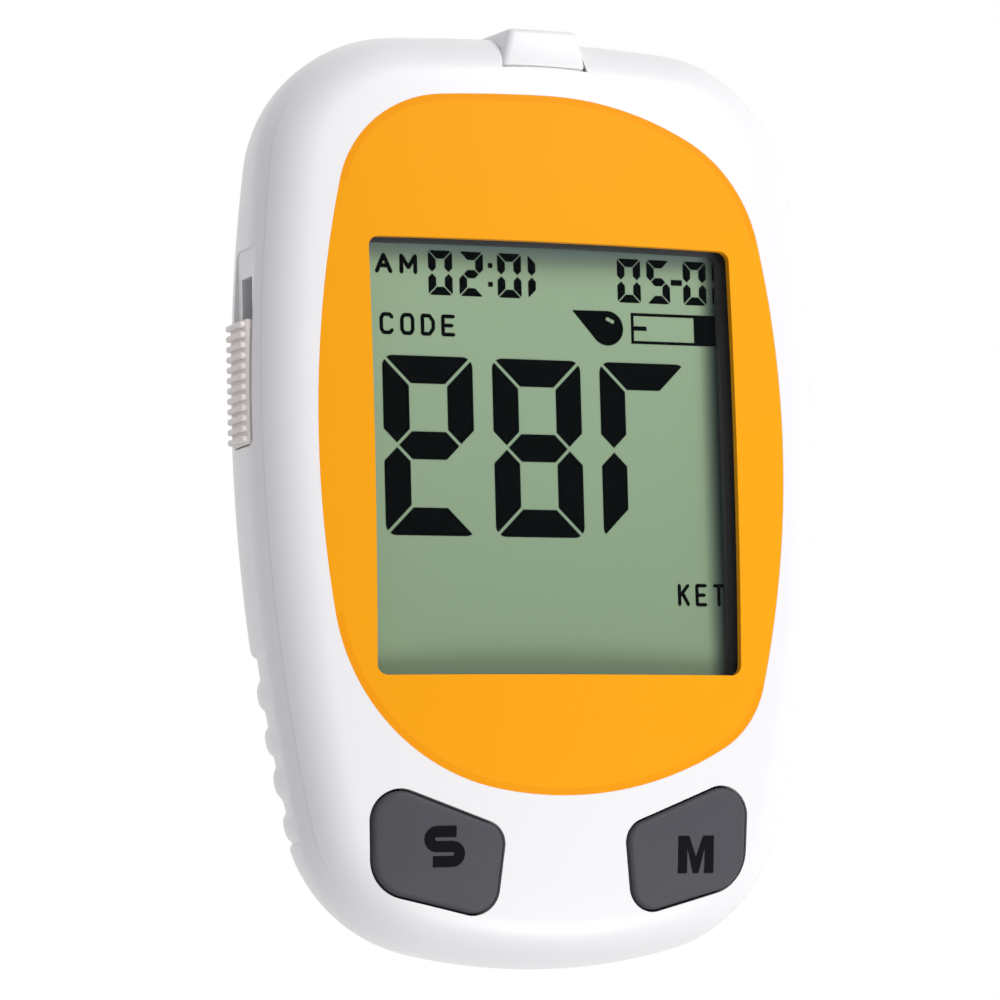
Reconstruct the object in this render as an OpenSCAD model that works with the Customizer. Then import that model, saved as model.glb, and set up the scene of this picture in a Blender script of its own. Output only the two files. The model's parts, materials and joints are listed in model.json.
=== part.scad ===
// Blood glucose meter, in millimetres. It lies on its back: +Z is out of the display,
// +Y towards the test strip port, and X = 0 is the middle of the body.

/* [Body] */
// Width of the body at its widest place
body_w = 64.8; // [63.8:0.2:71]
// Length of the body without the nose of the strip port
body_len = 98.4; // [97.4:0.2:105]
// Room between the circuit board and the crown of the face
front_depth = 7.8; // [7.3:0.1:10.8]
// Wall of the back cover's sides
wall = 2.2; // [2:0.1:2.6]
// Skin of the front cover, which is also the drop from the face to the seam
skin = 2.2; // [2:0.1:2.6]
// Floor of the back cover
floor_t = 1.6; // [1.4:0.1:2]
// Radius of the shoulder round the face
shoulder_r = 5; // [4.4:0.1:5.6]
// How far the rounding of the back reaches in from the side
back_round_in = 11; // [9:0.1:11.4]
// How far the rounding of the back reaches up
back_round_up = 12.4; // [11:0.1:12.6]
// Radius of the face's dome across the width
dome_rx = 180; // [150:5:260]
// Radius of the face's dome along the length
dome_ry = 400; // [340:10:700]
// Width of the seam line between the covers
seam_gap = 0.1; // [0.05:0.05:0.2]

/* [Face panel and display] */
// Rim of the front cover beside the printed panel
panel_side = 5.95; // [5.65:0.05:7.35]
// Rim between the panel and the top end
panel_head = 7; // [6.3:0.1:8.3]
// Distance from the keys' centres up to the panel's lower end
panel_foot = 5.65; // [5.25:0.05:6.65]
// Thickness of the printed panel
panel_t = 0.8; // [0.6:0.05:0.9]
// Width of the panel beside the display opening
window_side = 5.8; // [5.6:0.1:6.9]
// Length of the panel above the display opening
window_head = 15.75; // [15.55:0.05:17.55]
// Length of the panel below the display opening
window_foot = 12.4; // [12:0.1:14.7]
// Thickness of the clear lens
lens_t = 1; // [0.8:0.05:1]
// Depth of the liquid crystal cell below the face at the corners of the lens
lcd_depth = 2.45; // [2.4:0.05:2.9]
// Thickness of one glass of the cell
glass_t = 0.7; // [0.5:0.05:0.8]
// Height of the large digits
digit_h = 18.8; // [16:0.2:19.4]

/* [Keys] */
// Distance of each key's centre from the side of the body
key_side = 18.25; // [18:0.05:18.5]
// Distance of the keys' centres from the lower end of the body
key_up = 12.2; // [11.95:0.05:12.45]
// How far a key stands proud of the face
key_proud = 0.5; // [0.3:0.05:0.8]
// How far a key travels
key_travel = 0.6; // [0.4:0.05:0.7]
// Clearance round a key
key_gap = 0.25; // [0.2:0.05:0.3]

/* [Board] */
// Room between the sides of the body and the circuit board
board_side = 9.6; // [9.5:0.1:10.4]
// Thickness of the circuit board
board_t = 1; // [0.8:0.05:1.2]

/* [Strip ejector] */
// Length of the slider
slider_len = 13; // [11:0.1:14]
// Height of the slider
slider_h = 4.8; // [4.2:0.1:5]
// How far the slider travels towards the strip port
slider_travel = 7.4; // [6:0.1:7.6]
// How far the slider's ridges stand out of the side
slider_proud = 0.7; // [0.5:0.05:0.9]

/* [Batteries] */
// Diameter of a battery cell
cell_d = 10.5; // [10:0.1:10.5]
// Length of a battery cell with its nub
cell_len = 44.5; // [44:0.1:44.6]
// Thickness of the battery door
door_t = 1.5; // [1.3:0.05:1.6]
// Opening angle of the battery door in degrees
door_open = 70; // [40:1:75]

/* [Strip port] */
// Width of the nose at its root, on its front
nose_w = 9.7; // [9.3:0.1:10.7]
// How much wider the nose is on each side at its back
nose_flare = 2.2; // [2:0.1:2.8]
// Angle at which each side of the nose runs in towards its tip
nose_taper = 13; // [8:1:16]
// How far the nose stands out past the end of the body
nose_out = 0.4; // [0.2:0.1:1.4]
// Width of a test strip
strip_w = 6; // [5.6:0.1:6.2]

/* [Hidden] */
$fn = 48;

seat = 0.1;            // gap between fixed pieces that touch in use
low_y = -(body_len + nose_out) / 2;
top_y = low_y + body_len;

// Stack from the back to the face: door, cells, roof of their compartment, board
cell_z = door_t + 0.4 + cell_d / 2;
roof_z = cell_z + cell_d / 2 + 0.1;
roof_t = 0.6;
board_z = roof_z + roof_t + seat;
board_top = board_z + board_t;
body_t = board_top + front_depth;
key_x = body_w / 2 - key_side;
key_y = low_y + key_up;

// Radii of the body's outline and of the panel's, from the top end round to the lower end
body_radii = [300, 15.7, 191, 16.9, 62];
body_widest = top_y - 40.2;
panel_w = body_w - 2 * panel_side;
panel_top = top_y - panel_head;
panel_low = key_y + panel_foot;
panel_radii = [36, 15, 112, 10, 38];
panel_left_radii = [200, 12.4, 114, 22, 38];
panel_widest = panel_top - 36.3;
arc_steps = [4, 9, 7, 9, 5];
body_arcs = half_arcs(body_w / 2, top_y, low_y, body_widest, body_radii);
panel_arcs = half_arcs(panel_w / 2, panel_top, panel_low, panel_widest, panel_radii);
panel_left_arcs = half_arcs(panel_w / 2, panel_top, panel_low, panel_widest, panel_left_radii);
dome_y = (top_y + low_y) / 2 + 5.3;  // where the face is highest along Y
dome_angle = 18;        // angle that the dome's revolved surface spans

// Display
window_w = panel_w - 2 * window_side;
window_h = panel_top - window_head - (panel_low + window_foot);
window_y = panel_top - window_head - window_h / 2;
window_r = 1.1;
lcd_w = window_w + 2.2;
frame_w = lcd_w + 3;
frame_h = window_h + 8.8;
ledge = 2.4;            // how far the upper glass stands out past the lower at each end
lens_drop = panel_t + 0.15;
lens_w = window_w + 2.8;
lens_h = window_h + 3;
lens_corner = [lens_w / 2, max(window_y + lens_h / 2 - dome_y, dome_y - window_y + lens_h / 2) + dome_y];
lcd_top = face_z(lens_corner) - lcd_depth;
gasket_drop = lens_drop + lens_t + 0.05;
frame_drop = gasket_drop + 0.35;
bezel_w = window_w - 1;  // the frame's own opening, which covers the edges of the glass
bezel_h = window_h - 0.4;
bezel_t = 0.8;

// Board and what hangs from it
board_w = body_w - 2 * board_side;
board_low_y = low_y + 8.7;
board_high_y = top_y - 4.9;
dome_h = 0.5;           // height of a key's snap dome
flange_t = 0.8;
flange_out = 1.2;
flange_drop = skin + 0.15;

// Battery compartment
bay_wall = 1;
bay_w = 2 * cell_d + 1.4;
bay_y = low_y + 10.3;
bay_len = cell_len + 5.9;
bay_side = bay_w / 2 + bay_wall;
bay_end = bay_y + bay_len + bay_wall;
cell_y = bay_y + 2.95 + cell_len / 2;
cell_x = cell_d / 2 + 0.3;
hinge_y = bay_y + bay_len - 0.4;
hinge_z = 0.4;

// Strip ejector, with its wall on the left
strip_z = board_z - 3;
slider_z = body_t - 9.1;
slider_y = top_y - 31.1 - slider_len / 2;
track_end = 0.2;
knob_t = 1.5;
neck_w = 7;
neck_h = 2.6;
arm_t = 1.8;
arm_w = 3;
arm_gap = 1.1;          // between the cover's wall and the arm's plate
arm_y = bay_end + 0.8 + arm_w;
plate_x = wall + arm_gap + 0.03 - min(side_x(slider_y), side_x(arm_y + slider_travel));
spring_len = 8.8;
spring_x = plate_x + 6.9;
spring_y = arm_y - arm_w - 0.2 - spring_len;
connector_y = [top_y - 14.4, top_y - 4.1];
nose_z = [5, body_t - 2.25];
nose_root = top_y - 3.9;

// Screws
boss_r = 2;
side_post_y = slider_y - slider_len / 2 - 13.4;
side_post_x = max(side_x(side_post_y) - 6, frame_w / 2 + boss_r + 0.2);
side_posts = [for (s = [-1, 1]) [s * side_post_x, side_post_y]];
top_posts = [for (s = [-1, 1]) [s * (body_w / 2 - 10.8), top_y - 9.4]];
housing_posts = concat(top_posts, side_posts, [[0, low_y + 5.8]]);
chip_y = side_post_y + 8.7;
board_posts = [for (s = [-1, 1], end = [-1, 1])
    [s * (body_w / 2 - 12.8), window_y + end * (frame_h / 2 + 2.7)]];
lip_in = wall + 0.15;    // how far in the front cover's lip starts
land_z = 5.5;
land_t = 2;

cover_white = [0.95, 0.95, 0.94];
panel_orange = [1, 0.67, 0.14];
key_grey = [0.33, 0.33, 0.35];
lcd_green = [0.56, 0.68, 0.55];
steel = [0.75, 0.75, 0.77];

// ---- Outlines ---------------------------------------------------------------

function toward(a, b) = atan2(b[1] - a[1], b[0] - a[0]);

// Centre of a circle that lies inside circles a and b and touches both, on the outer side
function touching(a, ra, b, rb) =
    let (d = norm(b - a), x = (d * d + ra * ra - rb * rb) / (2 * d), h = sqrt(ra * ra - x * x),
        u = (b - a) / d)
    a + u * x - [-u[1], u[0]] * h;

// The five arcs of the right half, each [centre, radius, first angle, last angle]
function half_arcs(half_w, top, low, widest, r) =
    let (c1 = [0, top - r[0]], c3 = [half_w - r[2], widest], c5 = [0, low + r[4]],
        c2 = touching(c1, r[0] - r[1], c3, r[2] - r[1]),
        c4 = touching(c3, r[2] - r[3], c5, r[4] - r[3]))
    [[c1, r[0], 90, toward(c1, c2)], [c2, r[1], toward(c1, c2), toward(c3, c2)],
        [c3, r[2], toward(c3, c2), toward(c3, c4)], [c4, r[3], toward(c3, c4), toward(c5, c4)],
        [c5, r[4], toward(c5, c4), -90]];

function half_points(arcs, inset) =
    concat([for (k = [0:4], j = [0:arc_steps[k] - 1])
        let (a = arcs[k], t = a[2] + (a[3] - a[2]) * j / arc_steps[k])
        a[0] + (a[1] - inset) * [cos(t), sin(t)]],
        [arcs[4][0] + (arcs[4][1] - inset) * [0, -1]]);

// Closed outline, clockwise from the top end, moved in by inset
function outline(right, left, inset = 0) =
    let (h = half_points(left, inset))
    concat(half_points(right, inset), [for (i = [len(h) - 2:-1:1]) [-h[i][0], h[i][1]]]);
function body_outline(inset = 0) = outline(body_arcs, body_arcs, inset);
function panel_outline(grow = 0) = outline(panel_arcs, panel_left_arcs, -grow);

// Half width of the body at y, on the long arc of its side
function side_x(y) =
    body_arcs[2][0][0] + sqrt(pow(body_arcs[2][1], 2) - pow(y - body_arcs[2][0][1], 2));

module rounded(w, h, r) {
    square([w - 2 * r, h], center = true);
    square([w, h - 2 * r], center = true);
    for (x = [-1, 1], y = [-1, 1])
        translate([x * (w / 2 - r), y * (h / 2 - r)]) circle(r);
}

// A box given by its lowest and highest corner
module block(a, b) {
    translate(a) cube(b - a);
}

// ---- Face and body solids ---------------------------------------------------

function face_z(p) =
    let (out = dome_ry - dome_rx + sqrt(dome_rx * dome_rx - p[0] * p[0]))
    body_t - dome_ry + sqrt(out * out - pow(p[1] - dome_y, 2));

// Everything below the surface that lies drop under the face
module under_face(drop) {
    translate([0, dome_y, body_t - dome_ry])
        rotate([0, -90, 0]) rotate([0, 0, -dome_angle / 2])
            rotate_extrude(angle = dome_angle, $fn = 360) intersection() {
                translate([dome_ry - dome_rx, 0]) circle(dome_rx - drop, $fn = 360);
                translate([dome_ry - body_t - 6, -45]) square([body_t + 20, 90]);
            }
}

// The layer of the face between two depths
module face_layer(upper, lower) {
    difference() {
        under_face(upper);
        under_face(lower);
    }
}

function raised(points, z) = [for (p = points) [p[0], p[1], z]];
function domed(points, drop) = [for (p = points) [p[0], p[1], face_z(p) - drop]];
function shrunk(points, k) = [for (p = points) [p[0] * k, dome_y + (p[1] - dome_y) * k]];

// Solid through rings of equal length, lowest first, each clockwise from above
module loft(rings, apex) {
    n = len(rings[0]);
    m = len(rings);
    sides = [for (k = [0:m - 2], i = [0:n - 1]) let (j = (i + 1) % n)
        each [[k * n + i, k * n + j, (k + 1) * n + j], [k * n + i, (k + 1) * n + j, (k + 1) * n + i]]];
    base = [[for (i = [n - 1:-1:0]) i]];
    cap = is_undef(apex) ? [[for (i = [0:n - 1]) (m - 1) * n + i]]
        : [for (i = [0:n - 1]) [(m - 1) * n + i, (m - 1) * n + (i + 1) % n, m * n]];
    polyhedron(concat([for (r = rings) each r], is_undef(apex) ? [] : [apex]),
        concat(base, sides, cap), convexity = 4);
}

// The whole outer form of the body, moved in by inset at its sides
module body_form(inset = 0) {
    loft(concat(
        [for (b = [0:15:90]) raised(body_outline(inset + back_round_in * (1 - sin(b))),
            back_round_up * (1 - cos(b)))],
        [for (a = [0:15:90]) domed(body_outline(inset + shoulder_r * (1 - cos(a))),
            shoulder_r * (1 - sin(a)))],
        [for (k = [0.72, 0.4]) domed(shrunk(body_outline(inset + shoulder_r), k), 0)]),
        [0, dome_y, body_t]);
}

// The hollow of the back cover
module body_hollow() {
    in_r = back_round_in - wall;
    up_r = back_round_up - floor_t;
    loft(concat([for (b = [0:22.5:90]) raised(body_outline(back_round_in - in_r * sin(b)),
            back_round_up - up_r * cos(b))],
        [raised(body_outline(wall), body_t + 1)]));
}

// ---- Covers -----------------------------------------------------------------

module window_prism(w, h, r, z) {
    translate([0, window_y, z[0]]) linear_extrude(z[1] - z[0]) rounded(w, h, r);
}

// Front view of the nose at y: its sides run in towards the tip, and apart towards the back
function nose_ring(y, grow) =
    let (x = nose_w / 2 - (y - nose_root) * tan(nose_taper) + grow, z = [nose_z[0] - grow, nose_z[1] + grow])
    [[x, y, z[1]], [-x, y, z[1]], [-x - nose_flare, y, z[0]], [x + nose_flare, y, z[0]]];

module nose_form(grow, low, high) {
    loft([nose_ring(low, grow), nose_ring(high, grow)]);
}

module key_outline(grow) {
    hull() for (c = [[-4.75, 0.65, 2.3], [4.05, 3.25, 3], [2.75, -0.4, 4.2], [-3.95, -3.75, 2.6]])
        translate([c[0], c[1]]) circle(c[2] + grow, $fn = 32);
}

module key_prism(side, grow) {
    translate([side * key_x, key_y, 0]) mirror([side < 0 ? 1 : 0, 0, 0])
        linear_extrude(body_t + 5) key_outline(grow);
}

module front_cover() {
    color(cover_white) difference() {
        union() {
            difference() {
                body_form();
                under_face(skin);
            }
            intersection() {
                face_layer(skin - 0.6, skin + 1.4);
                linear_extrude(body_t) difference() {
                    polygon(body_outline(lip_in));
                    polygon(body_outline(lip_in + 1));
                }
            }
            intersection() {
                under_face(skin - 0.6);
                union() {
                    for (p = housing_posts)
                        translate([p[0], p[1], land_z + land_t + seat]) cylinder(r = boss_r, h = body_t);
                    for (p = board_posts)
                        translate([p[0], p[1], board_top + seat / 2]) cylinder(r = 1.7, h = body_t);
                }
            }
        }
        difference() {
            linear_extrude(body_t + 5) polygon(panel_outline(seat));
            under_face(panel_t + seat);
        }
        window_prism(lens_w + 2 * seat, lens_h + 2 * seat, window_r + 1, [10, body_t + 5]);
        for (side = [-1, 1]) key_prism(side, key_gap);
        nose_form(seat, nose_root - seat, top_y + 5);
        for (p = housing_posts)
            translate([p[0], p[1], land_z]) cylinder(r = 0.85, h = 9);
        for (p = board_posts)
            translate([p[0], p[1], board_z]) cylinder(r = 0.7, h = board_t + 2.6);
    }
}

// Grip ribs low on both sides: a shallow recess with four ribs standing in it
grip_y = [low_y + 14.8, low_y + 32.5];
rib_ys = [for (up = [14.9, 19.5, 23.9, 28.6]) low_y + up];
rib_half = 0.9;
grip_deep = 0.6;

module grip_recess() {
    difference() {
        block([-body_w, grip_y[0], 3], [body_w, grip_y[1], body_t - 5]);
        body_form(grip_deep);
        for (y = rib_ys)
            block([-body_w - 1, y - rib_half, -1], [body_w + 1, y + rib_half, body_t]);
    }
}

module battery_bay() {
    difference() {
        block([-bay_w / 2 - bay_wall, bay_y - bay_wall, 0],
            [bay_w / 2 + bay_wall, bay_y + bay_len + bay_wall, roof_z + roof_t]);
        block([-bay_w / 2, bay_y, -1], [bay_w / 2, bay_y + bay_len, roof_z]);
        for (x = [-1, 1]) translate([x * (bay_w / 2 - 1), 0, 0])
            block([-1.2, bay_y + bay_len - 0.5, floor_t], [1.2, bay_y + bay_len + bay_wall + 0.5, 4.6]);
    }
}

module back_cover() {
    track_x = -side_x(slider_y) + 0.9;
    slot_low = slider_y - neck_w / 2 - track_end;
    slot_high = slider_y + neck_w / 2 + slider_travel + track_end;
    color(cover_white) difference() {
        intersection() {
            body_form();
            under_face(skin + seam_gap);
        }
        difference() {
            body_hollow();
            for (p = housing_posts) translate([p[0], p[1], -1]) cylinder(r = 3.2, h = land_z + land_t + 1);
            battery_bay();
            translate([spring_x, spring_y - 1.3, 0]) cylinder(r = 1.1, h = strip_z + 2);
        }
        grip_recess();
        block([-bay_w / 2, bay_y, -1], [bay_w / 2, bay_y + bay_len, floor_t + 1]);
        block([-bay_w / 2, bay_y + 1, -1], [bay_w / 2, bay_y + bay_len + 0.4, floor_t]);
        translate([0, bay_y - 0.3, -2]) rotate([0, 90, 0]) cylinder(r = 3, h = 10, center = true);
        for (p = housing_posts) {
            translate([p[0], p[1], -1]) cylinder(r = 2.3, h = land_z + 1);
            translate([p[0], p[1], 0]) cylinder(r = 1.1, h = land_z + land_t + 1);
        }
        block([-body_w, slider_y - slider_len / 2 - track_end, slider_z - slider_h / 2 - 0.3],
            [track_x, slider_y + slider_len / 2 + slider_travel + track_end, slider_z + slider_h / 2 + 0.3]);
        block([-body_w, slot_low, slider_z - neck_h / 2 - 0.2],
            [track_x + wall + 1, slot_high, slider_z + neck_h / 2 + 0.2]);
        nose_form(seat, nose_root - seat, top_y + 5);
        label_prism(0.1, 0.3);
    }
}

label_w = 30;
label_ys = [bay_end + 7.7, top_y - 13];

module label_prism(grow, deep) {
    translate([0, (label_ys[0] + label_ys[1]) / 2, -0.01]) linear_extrude(deep)
        rounded(label_w + 2 * grow, label_ys[1] - label_ys[0] + 2 * grow, 1.5);
}

module rating_label() {
    color([0.85, 0.85, 0.86]) translate([0, 0, 0.06]) label_prism(0, 0.2);
}

// ---- Face panel and display -------------------------------------------------

module face_panel() {
    color(panel_orange) difference() {
        intersection() {
            face_layer(0.02, panel_t);
            linear_extrude(body_t + 5) polygon(panel_outline());
        }
        window_prism(window_w, window_h, window_r, [10, body_t + 5]);
    }
}

module display_window() {
    color([0.85, 0.9, 0.92, 0.4]) intersection() {
        face_layer(lens_drop, lens_drop + lens_t);
        window_prism(lens_w, lens_h, window_r + 0.8, [10, body_t + 5]);
    }
}

module display_gasket() {
    color([0.1, 0.1, 0.11]) intersection() {
        face_layer(gasket_drop, frame_drop - 0.05);
        difference() {
            window_prism(lens_w - 0.1, lens_h - 0.1, window_r + 0.8, [10, body_t]);
            window_prism(window_w + 1.2, window_h + 1.2, window_r, [9, body_t + 1]);
        }
    }
}

module lcd_glass() {
    low_h = frame_h - 3 - 2 * ledge;
    color(lcd_green) {
        window_prism(lcd_w, frame_h - 3, 0.3, [lcd_top - glass_t, lcd_top]);
        window_prism(lcd_w, low_h, 0.3, [lcd_top - 2 * glass_t, lcd_top - glass_t]);
    }
}

// The seven bars of a digit as outlines: outer ends mitred, inner ends pointed, with a gap between
function digit_bars(w, h, t, gap) =
    let (x = w / 2, y = h / 2, m = t / 2, g = gap * 0.7,
        side = [[x, y - g], [x - t, y - t - g], [x - t, m + g], [x - m, g], [x, m + g]],
        cap = [[-x + g, y], [x - g, y], [x - t - g, y - t], [-x + t + g, y - t]])
    [cap, side, flipped(side, 1, -1), flipped(cap, 1, -1), flipped(side, -1, -1), flipped(side, -1, 1),
        [[-x + m + g, 0], [-x + t + g, m], [x - t - g, m], [x - m - g, 0], [x - t - g, -m], [-x + t + g, -m]]];

function flipped(points, sx, sy) = [for (p = points) [p[0] * sx, p[1] * sy]];

// Bars that are on: top, upper right, lower right, bottom, lower left, upper left, middle
zero = [1, 1, 1, 1, 1, 1, 0];
one = [0, 0, 0, 0, 1, 1, 0];
two = [1, 1, 0, 1, 1, 0, 1];
five = [1, 0, 1, 1, 0, 1, 1];
reading = [[1, 1, 0, 1, 1, 1, 1], [1, 1, 1, 1, 1, 1, 1], [1, 0, 0, 0, 1, 1, 0]];

module digit(on, w, h, t, gap) {
    bars = digit_bars(w, h, t, gap);
    intersection() {
        rounded(w, h, t * 0.4);
        for (k = [0:6]) if (on[k] == 1) polygon(bars[k]);
    }
}

// Two small numbers with a mark between them, from the first digit's centre
module small_row(left, right, pitch) {
    for (i = [0, 1]) {
        translate([i * pitch, 0]) digit(left[i], small_w, small_h, small_t, 0.15);
        translate([(2 + i) * pitch + small_t, 0]) digit(right[i], small_w, small_h, small_t, 0.15);
    }
    translate([1.5 * pitch + small_t / 2, 0]) children();
}

digit_pitch = (window_w - 16.6) / 2;
digit_w = digit_pitch - 2.24;
digit_t = 2.9;
small_h = 4.7;
small_w = 2.7;
small_t = 0.85;
time_pitch = 3.5;
date_pitch = 3.45;
left_x = -window_w / 2;
right_x = window_w / 2;
row_ys = [for (drop = [3.1, 8.3, 21.35]) window_h / 2 - drop];

module drop_icon() {
    r = 1.85;
    tip = [-4, 1.8];
    a = acos(r / norm(tip));
    t = atan2(tip[1], tip[0]);
    difference() {
        union() {
            circle(r);
            polygon([tip, r * [cos(t - a), sin(t - a)], r * [cos(t + a), sin(t + a)]]);
        }
        translate([0.35, 0.85]) rotate(-25) square([1, 0.4], center = true);
    }
}

module battery_icon() {
    difference() {
        square([10.6, 3.3], center = true);
        translate([-1.45, 0]) square([7.1, 2.7], center = true);
    }
    translate([-4.25, 0]) square([1.5, 0.45], center = true);
}

module lcd_segments() {
    color([0.08, 0.09, 0.1]) translate([0, window_y, lcd_top]) linear_extrude(0.05) {
        for (i = [0:2]) translate([left_x + 7.4 + digit_pitch * i, row_ys[2]])
            digit(reading[i], digit_w, digit_h, digit_t, 0.35);
        translate([left_x + 9.1, row_ys[0]]) small_row([zero, two], [zero, one], time_pitch)
            for (s = [-1, 1]) translate([0, s]) square(0.5, center = true);
        translate([right_x - 10.5, row_ys[0]]) small_row([zero, five], [zero, one], date_pitch)
            square([1.3, 0.6], center = true);
        translate([right_x - 13.2, row_ys[1]]) drop_icon();
        translate([right_x - 5.1, row_ys[1] + 0.1]) battery_icon();
    }
}

// A wall round the glass, with a thin bezel over its edges
module lcd_frame() {
    color([0.13, 0.13, 0.16]) difference() {
        union() {
            intersection() {
                under_face(frame_drop + bezel_t / 2);
                difference() {
                    window_prism(frame_w, frame_h, 1, [board_top + seat / 2, body_t]);
                    window_prism(lcd_w + 2 * seat, frame_h - 3 + 2 * seat, 0.4, [0, body_t + 1]);
                }
            }
            intersection() {
                face_layer(frame_drop, frame_drop + bezel_t);
                window_prism(frame_w, frame_h, 1, [board_top, body_t]);
            }
        }
        window_prism(bezel_w, bezel_h, window_r, [0, body_t + 1]);
        window_prism(lcd_w + 2 * seat, frame_h - 3 + 2 * seat, 0.4, [0, lcd_top + seat]);
    }
}

module zebra_strips() {
    color([0.85, 0.55, 0.6]) for (s = [-1, 1])
        translate([0, window_y + s * (frame_h / 2 - 1.5 - ledge / 2 - 0.05), 0])
            block([-lcd_w / 2 + 1.5, -ledge / 2 + 0.3, board_top + 0.02],
                [lcd_w / 2 - 1.5, ledge / 2 - 0.3, lcd_top - glass_t - 0.02]);
}

// ---- Keys -------------------------------------------------------------------

module key_cap(side) {
    stem_low = board_top + dome_h + key_travel + 0.05;
    color(key_grey) intersection() {
        translate([0, 0, stem_low]) linear_extrude(body_t) polygon(body_outline(lip_in + 1.2));
        union() {
            intersection() {
                face_layer(-key_proud, flange_drop + 0.4);
                key_prism(side, 0);
            }
            intersection() {
                face_layer(flange_drop, flange_drop + flange_t);
                key_prism(side, flange_out);
            }
            intersection() {
                under_face(flange_drop + 0.4);
                translate([side * key_x, key_y, 0]) cylinder(r = 2, h = body_t);
            }
        }
    }
}

module set_button() key_cap(-1);
module memory_button() key_cap(1);

module key_domes() {
    color(steel) for (side = [-1, 1])
        translate([side * key_x, key_y, board_top + 0.01]) cylinder(r1 = 3, r2 = 1.8, h = dome_h);
}

// ---- Circuit board ----------------------------------------------------------

module circuit_board() {
    color([0.1, 0.42, 0.25]) translate([0, 0, board_z]) linear_extrude(board_t) difference() {
        intersection() {
            polygon(body_outline(wall + 1.8));
            translate([-board_w / 2, board_low_y]) square([board_w, board_high_y - board_low_y]);
        }
        for (p = housing_posts) translate(p) circle(3.3);
        for (p = board_posts) translate(p) circle(0.9);
    }
}

module processor_chip() {
    color([0.12, 0.12, 0.13]) translate([bay_side + 5.1, chip_y, board_z - 1.22]) {
        translate([-4, -4, 0]) cube([8, 8, 1]);
        for (a = [0:90:270], i = [-3:3]) rotate(a)
            block([4, i - 0.2, 0.7], [5, i + 0.2, 1.2]);
    }
}

module reader_chip() {
    color([0.12, 0.12, 0.13]) translate([8, top_y - 21.5, board_z - 1.12]) {
        translate([-2.5, -2, 0]) cube([5, 4, 0.9]);
        for (s = [-1, 1], i = [-2:2]) block([i - 0.18, s > 0 ? 2 : -3, 0.6], [i + 0.18, s > 0 ? 3 : -2, 1.1]);
    }
}

module crystal_can() {
    color(steel) translate([bay_side + 5.1, chip_y - 9, board_z - 1.07]) rotate([90, 0, 0])
        cylinder(r = 1.05, h = 6, center = true);
}

module buzzer() {
    color([0.15, 0.15, 0.16]) translate([bay_side + 5.4, top_y - 26, board_z - 2.22]) difference() {
        cylinder(r = 4.4, h = 2.2);
        translate([0, 0, -1]) cylinder(r = 1, h = 2);
    }
}

// Small parts in rows under the board, beside the battery compartment
module board_components() {
    rows = [[-bay_side - 7.3, board_posts[0][1] + 4, 2, 4], [bay_side + 2.8, chip_y + 7.5, 2, 2]];
    color([0.75, 0.62, 0.45]) for (r = rows, i = [0:r[2] - 1], j = [0:r[3] - 1])
        translate([r[0] + 3.4 * i, r[1] + 3.2 * j, board_z - 0.72]) rotate(90 * (i % 2))
            block([-0.8, -0.4, 0], [0.8, 0.4, 0.7]);
}

module board_screws() {
    color(steel) for (p = board_posts) translate([p[0], p[1], board_z - 0.82]) {
        cylinder(r = 1.4, h = 0.8);
        cylinder(r = 0.65, h = board_t + 2.8);
    }
}

module housing_screws() {
    color(steel) for (p = housing_posts) translate([p[0], p[1], land_z - 1.52]) difference() {
        union() {
            cylinder(r = 1.9, h = 1.5);
            cylinder(r = 0.8, h = 9);
        }
        for (a = [0, 90]) rotate(a) translate([-1.2, -0.2, -1]) cube([2.4, 0.4, 1.7]);
    }
}

// ---- Strip port and ejector -------------------------------------------------

contact_xs = [-2.5, -1.5, 1.5, 2.5];
contact_w = 0.5;
finger_w = 1.8;

module strip_connector() {
    channel = strip_w + 0.6;
    color([0.92, 0.9, 0.82]) difference() {
        block([-7, connector_y[0], strip_z - 1.6], [7, connector_y[1], board_z - 0.02]);
        block([-channel / 2, connector_y[0] - 1, strip_z - 0.6],
            [channel / 2, connector_y[1] + 1, strip_z + 0.6]);
        for (x = contact_xs)
            block([x - contact_w / 2 - 0.2, connector_y[0] + 1.4, strip_z],
                [x + contact_w / 2 + 0.2, connector_y[1] - 1, board_z]);
    }
}

module strip_contacts() {
    color([0.85, 0.7, 0.3]) translate([0, connector_y[0] + 2, 0]) for (x = contact_xs)
        translate([x + contact_w / 2, 0, 0]) rotate([90, 0, -90]) linear_extrude(contact_w)
            polygon([[0, board_z - 0.04], [0, strip_z + 1.2], [-5, strip_z + 0.35], [-6.6, strip_z + 1.3],
                [-6.4, strip_z + 1.5], [-5, strip_z + 0.65], [-0.3, strip_z + 1.45], [-0.3, board_z - 0.04]]);
}

module port_guide() {
    y = [nose_root, top_y + nose_out];
    flange_x = nose_w / 2 + nose_flare + 0.9;
    color(cover_white) difference() {
        union() {
            nose_form(0, y[0], y[1]);
            block([-flange_x, y[0], strip_z - 1.4], [flange_x, y[0] + 0.6, body_t - 6.5]);
        }
        block([-strip_w / 2 - 0.4, y[0] - 1, strip_z - 0.7], [strip_w / 2 + 0.4, y[1] + 1, strip_z + 0.7]);
        translate([0, y[1] + 0.01, strip_z]) rotate([90, 0, 0])
            linear_extrude(0.8) square([strip_w + 2.6, 2.8], center = true);
    }
}

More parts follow.
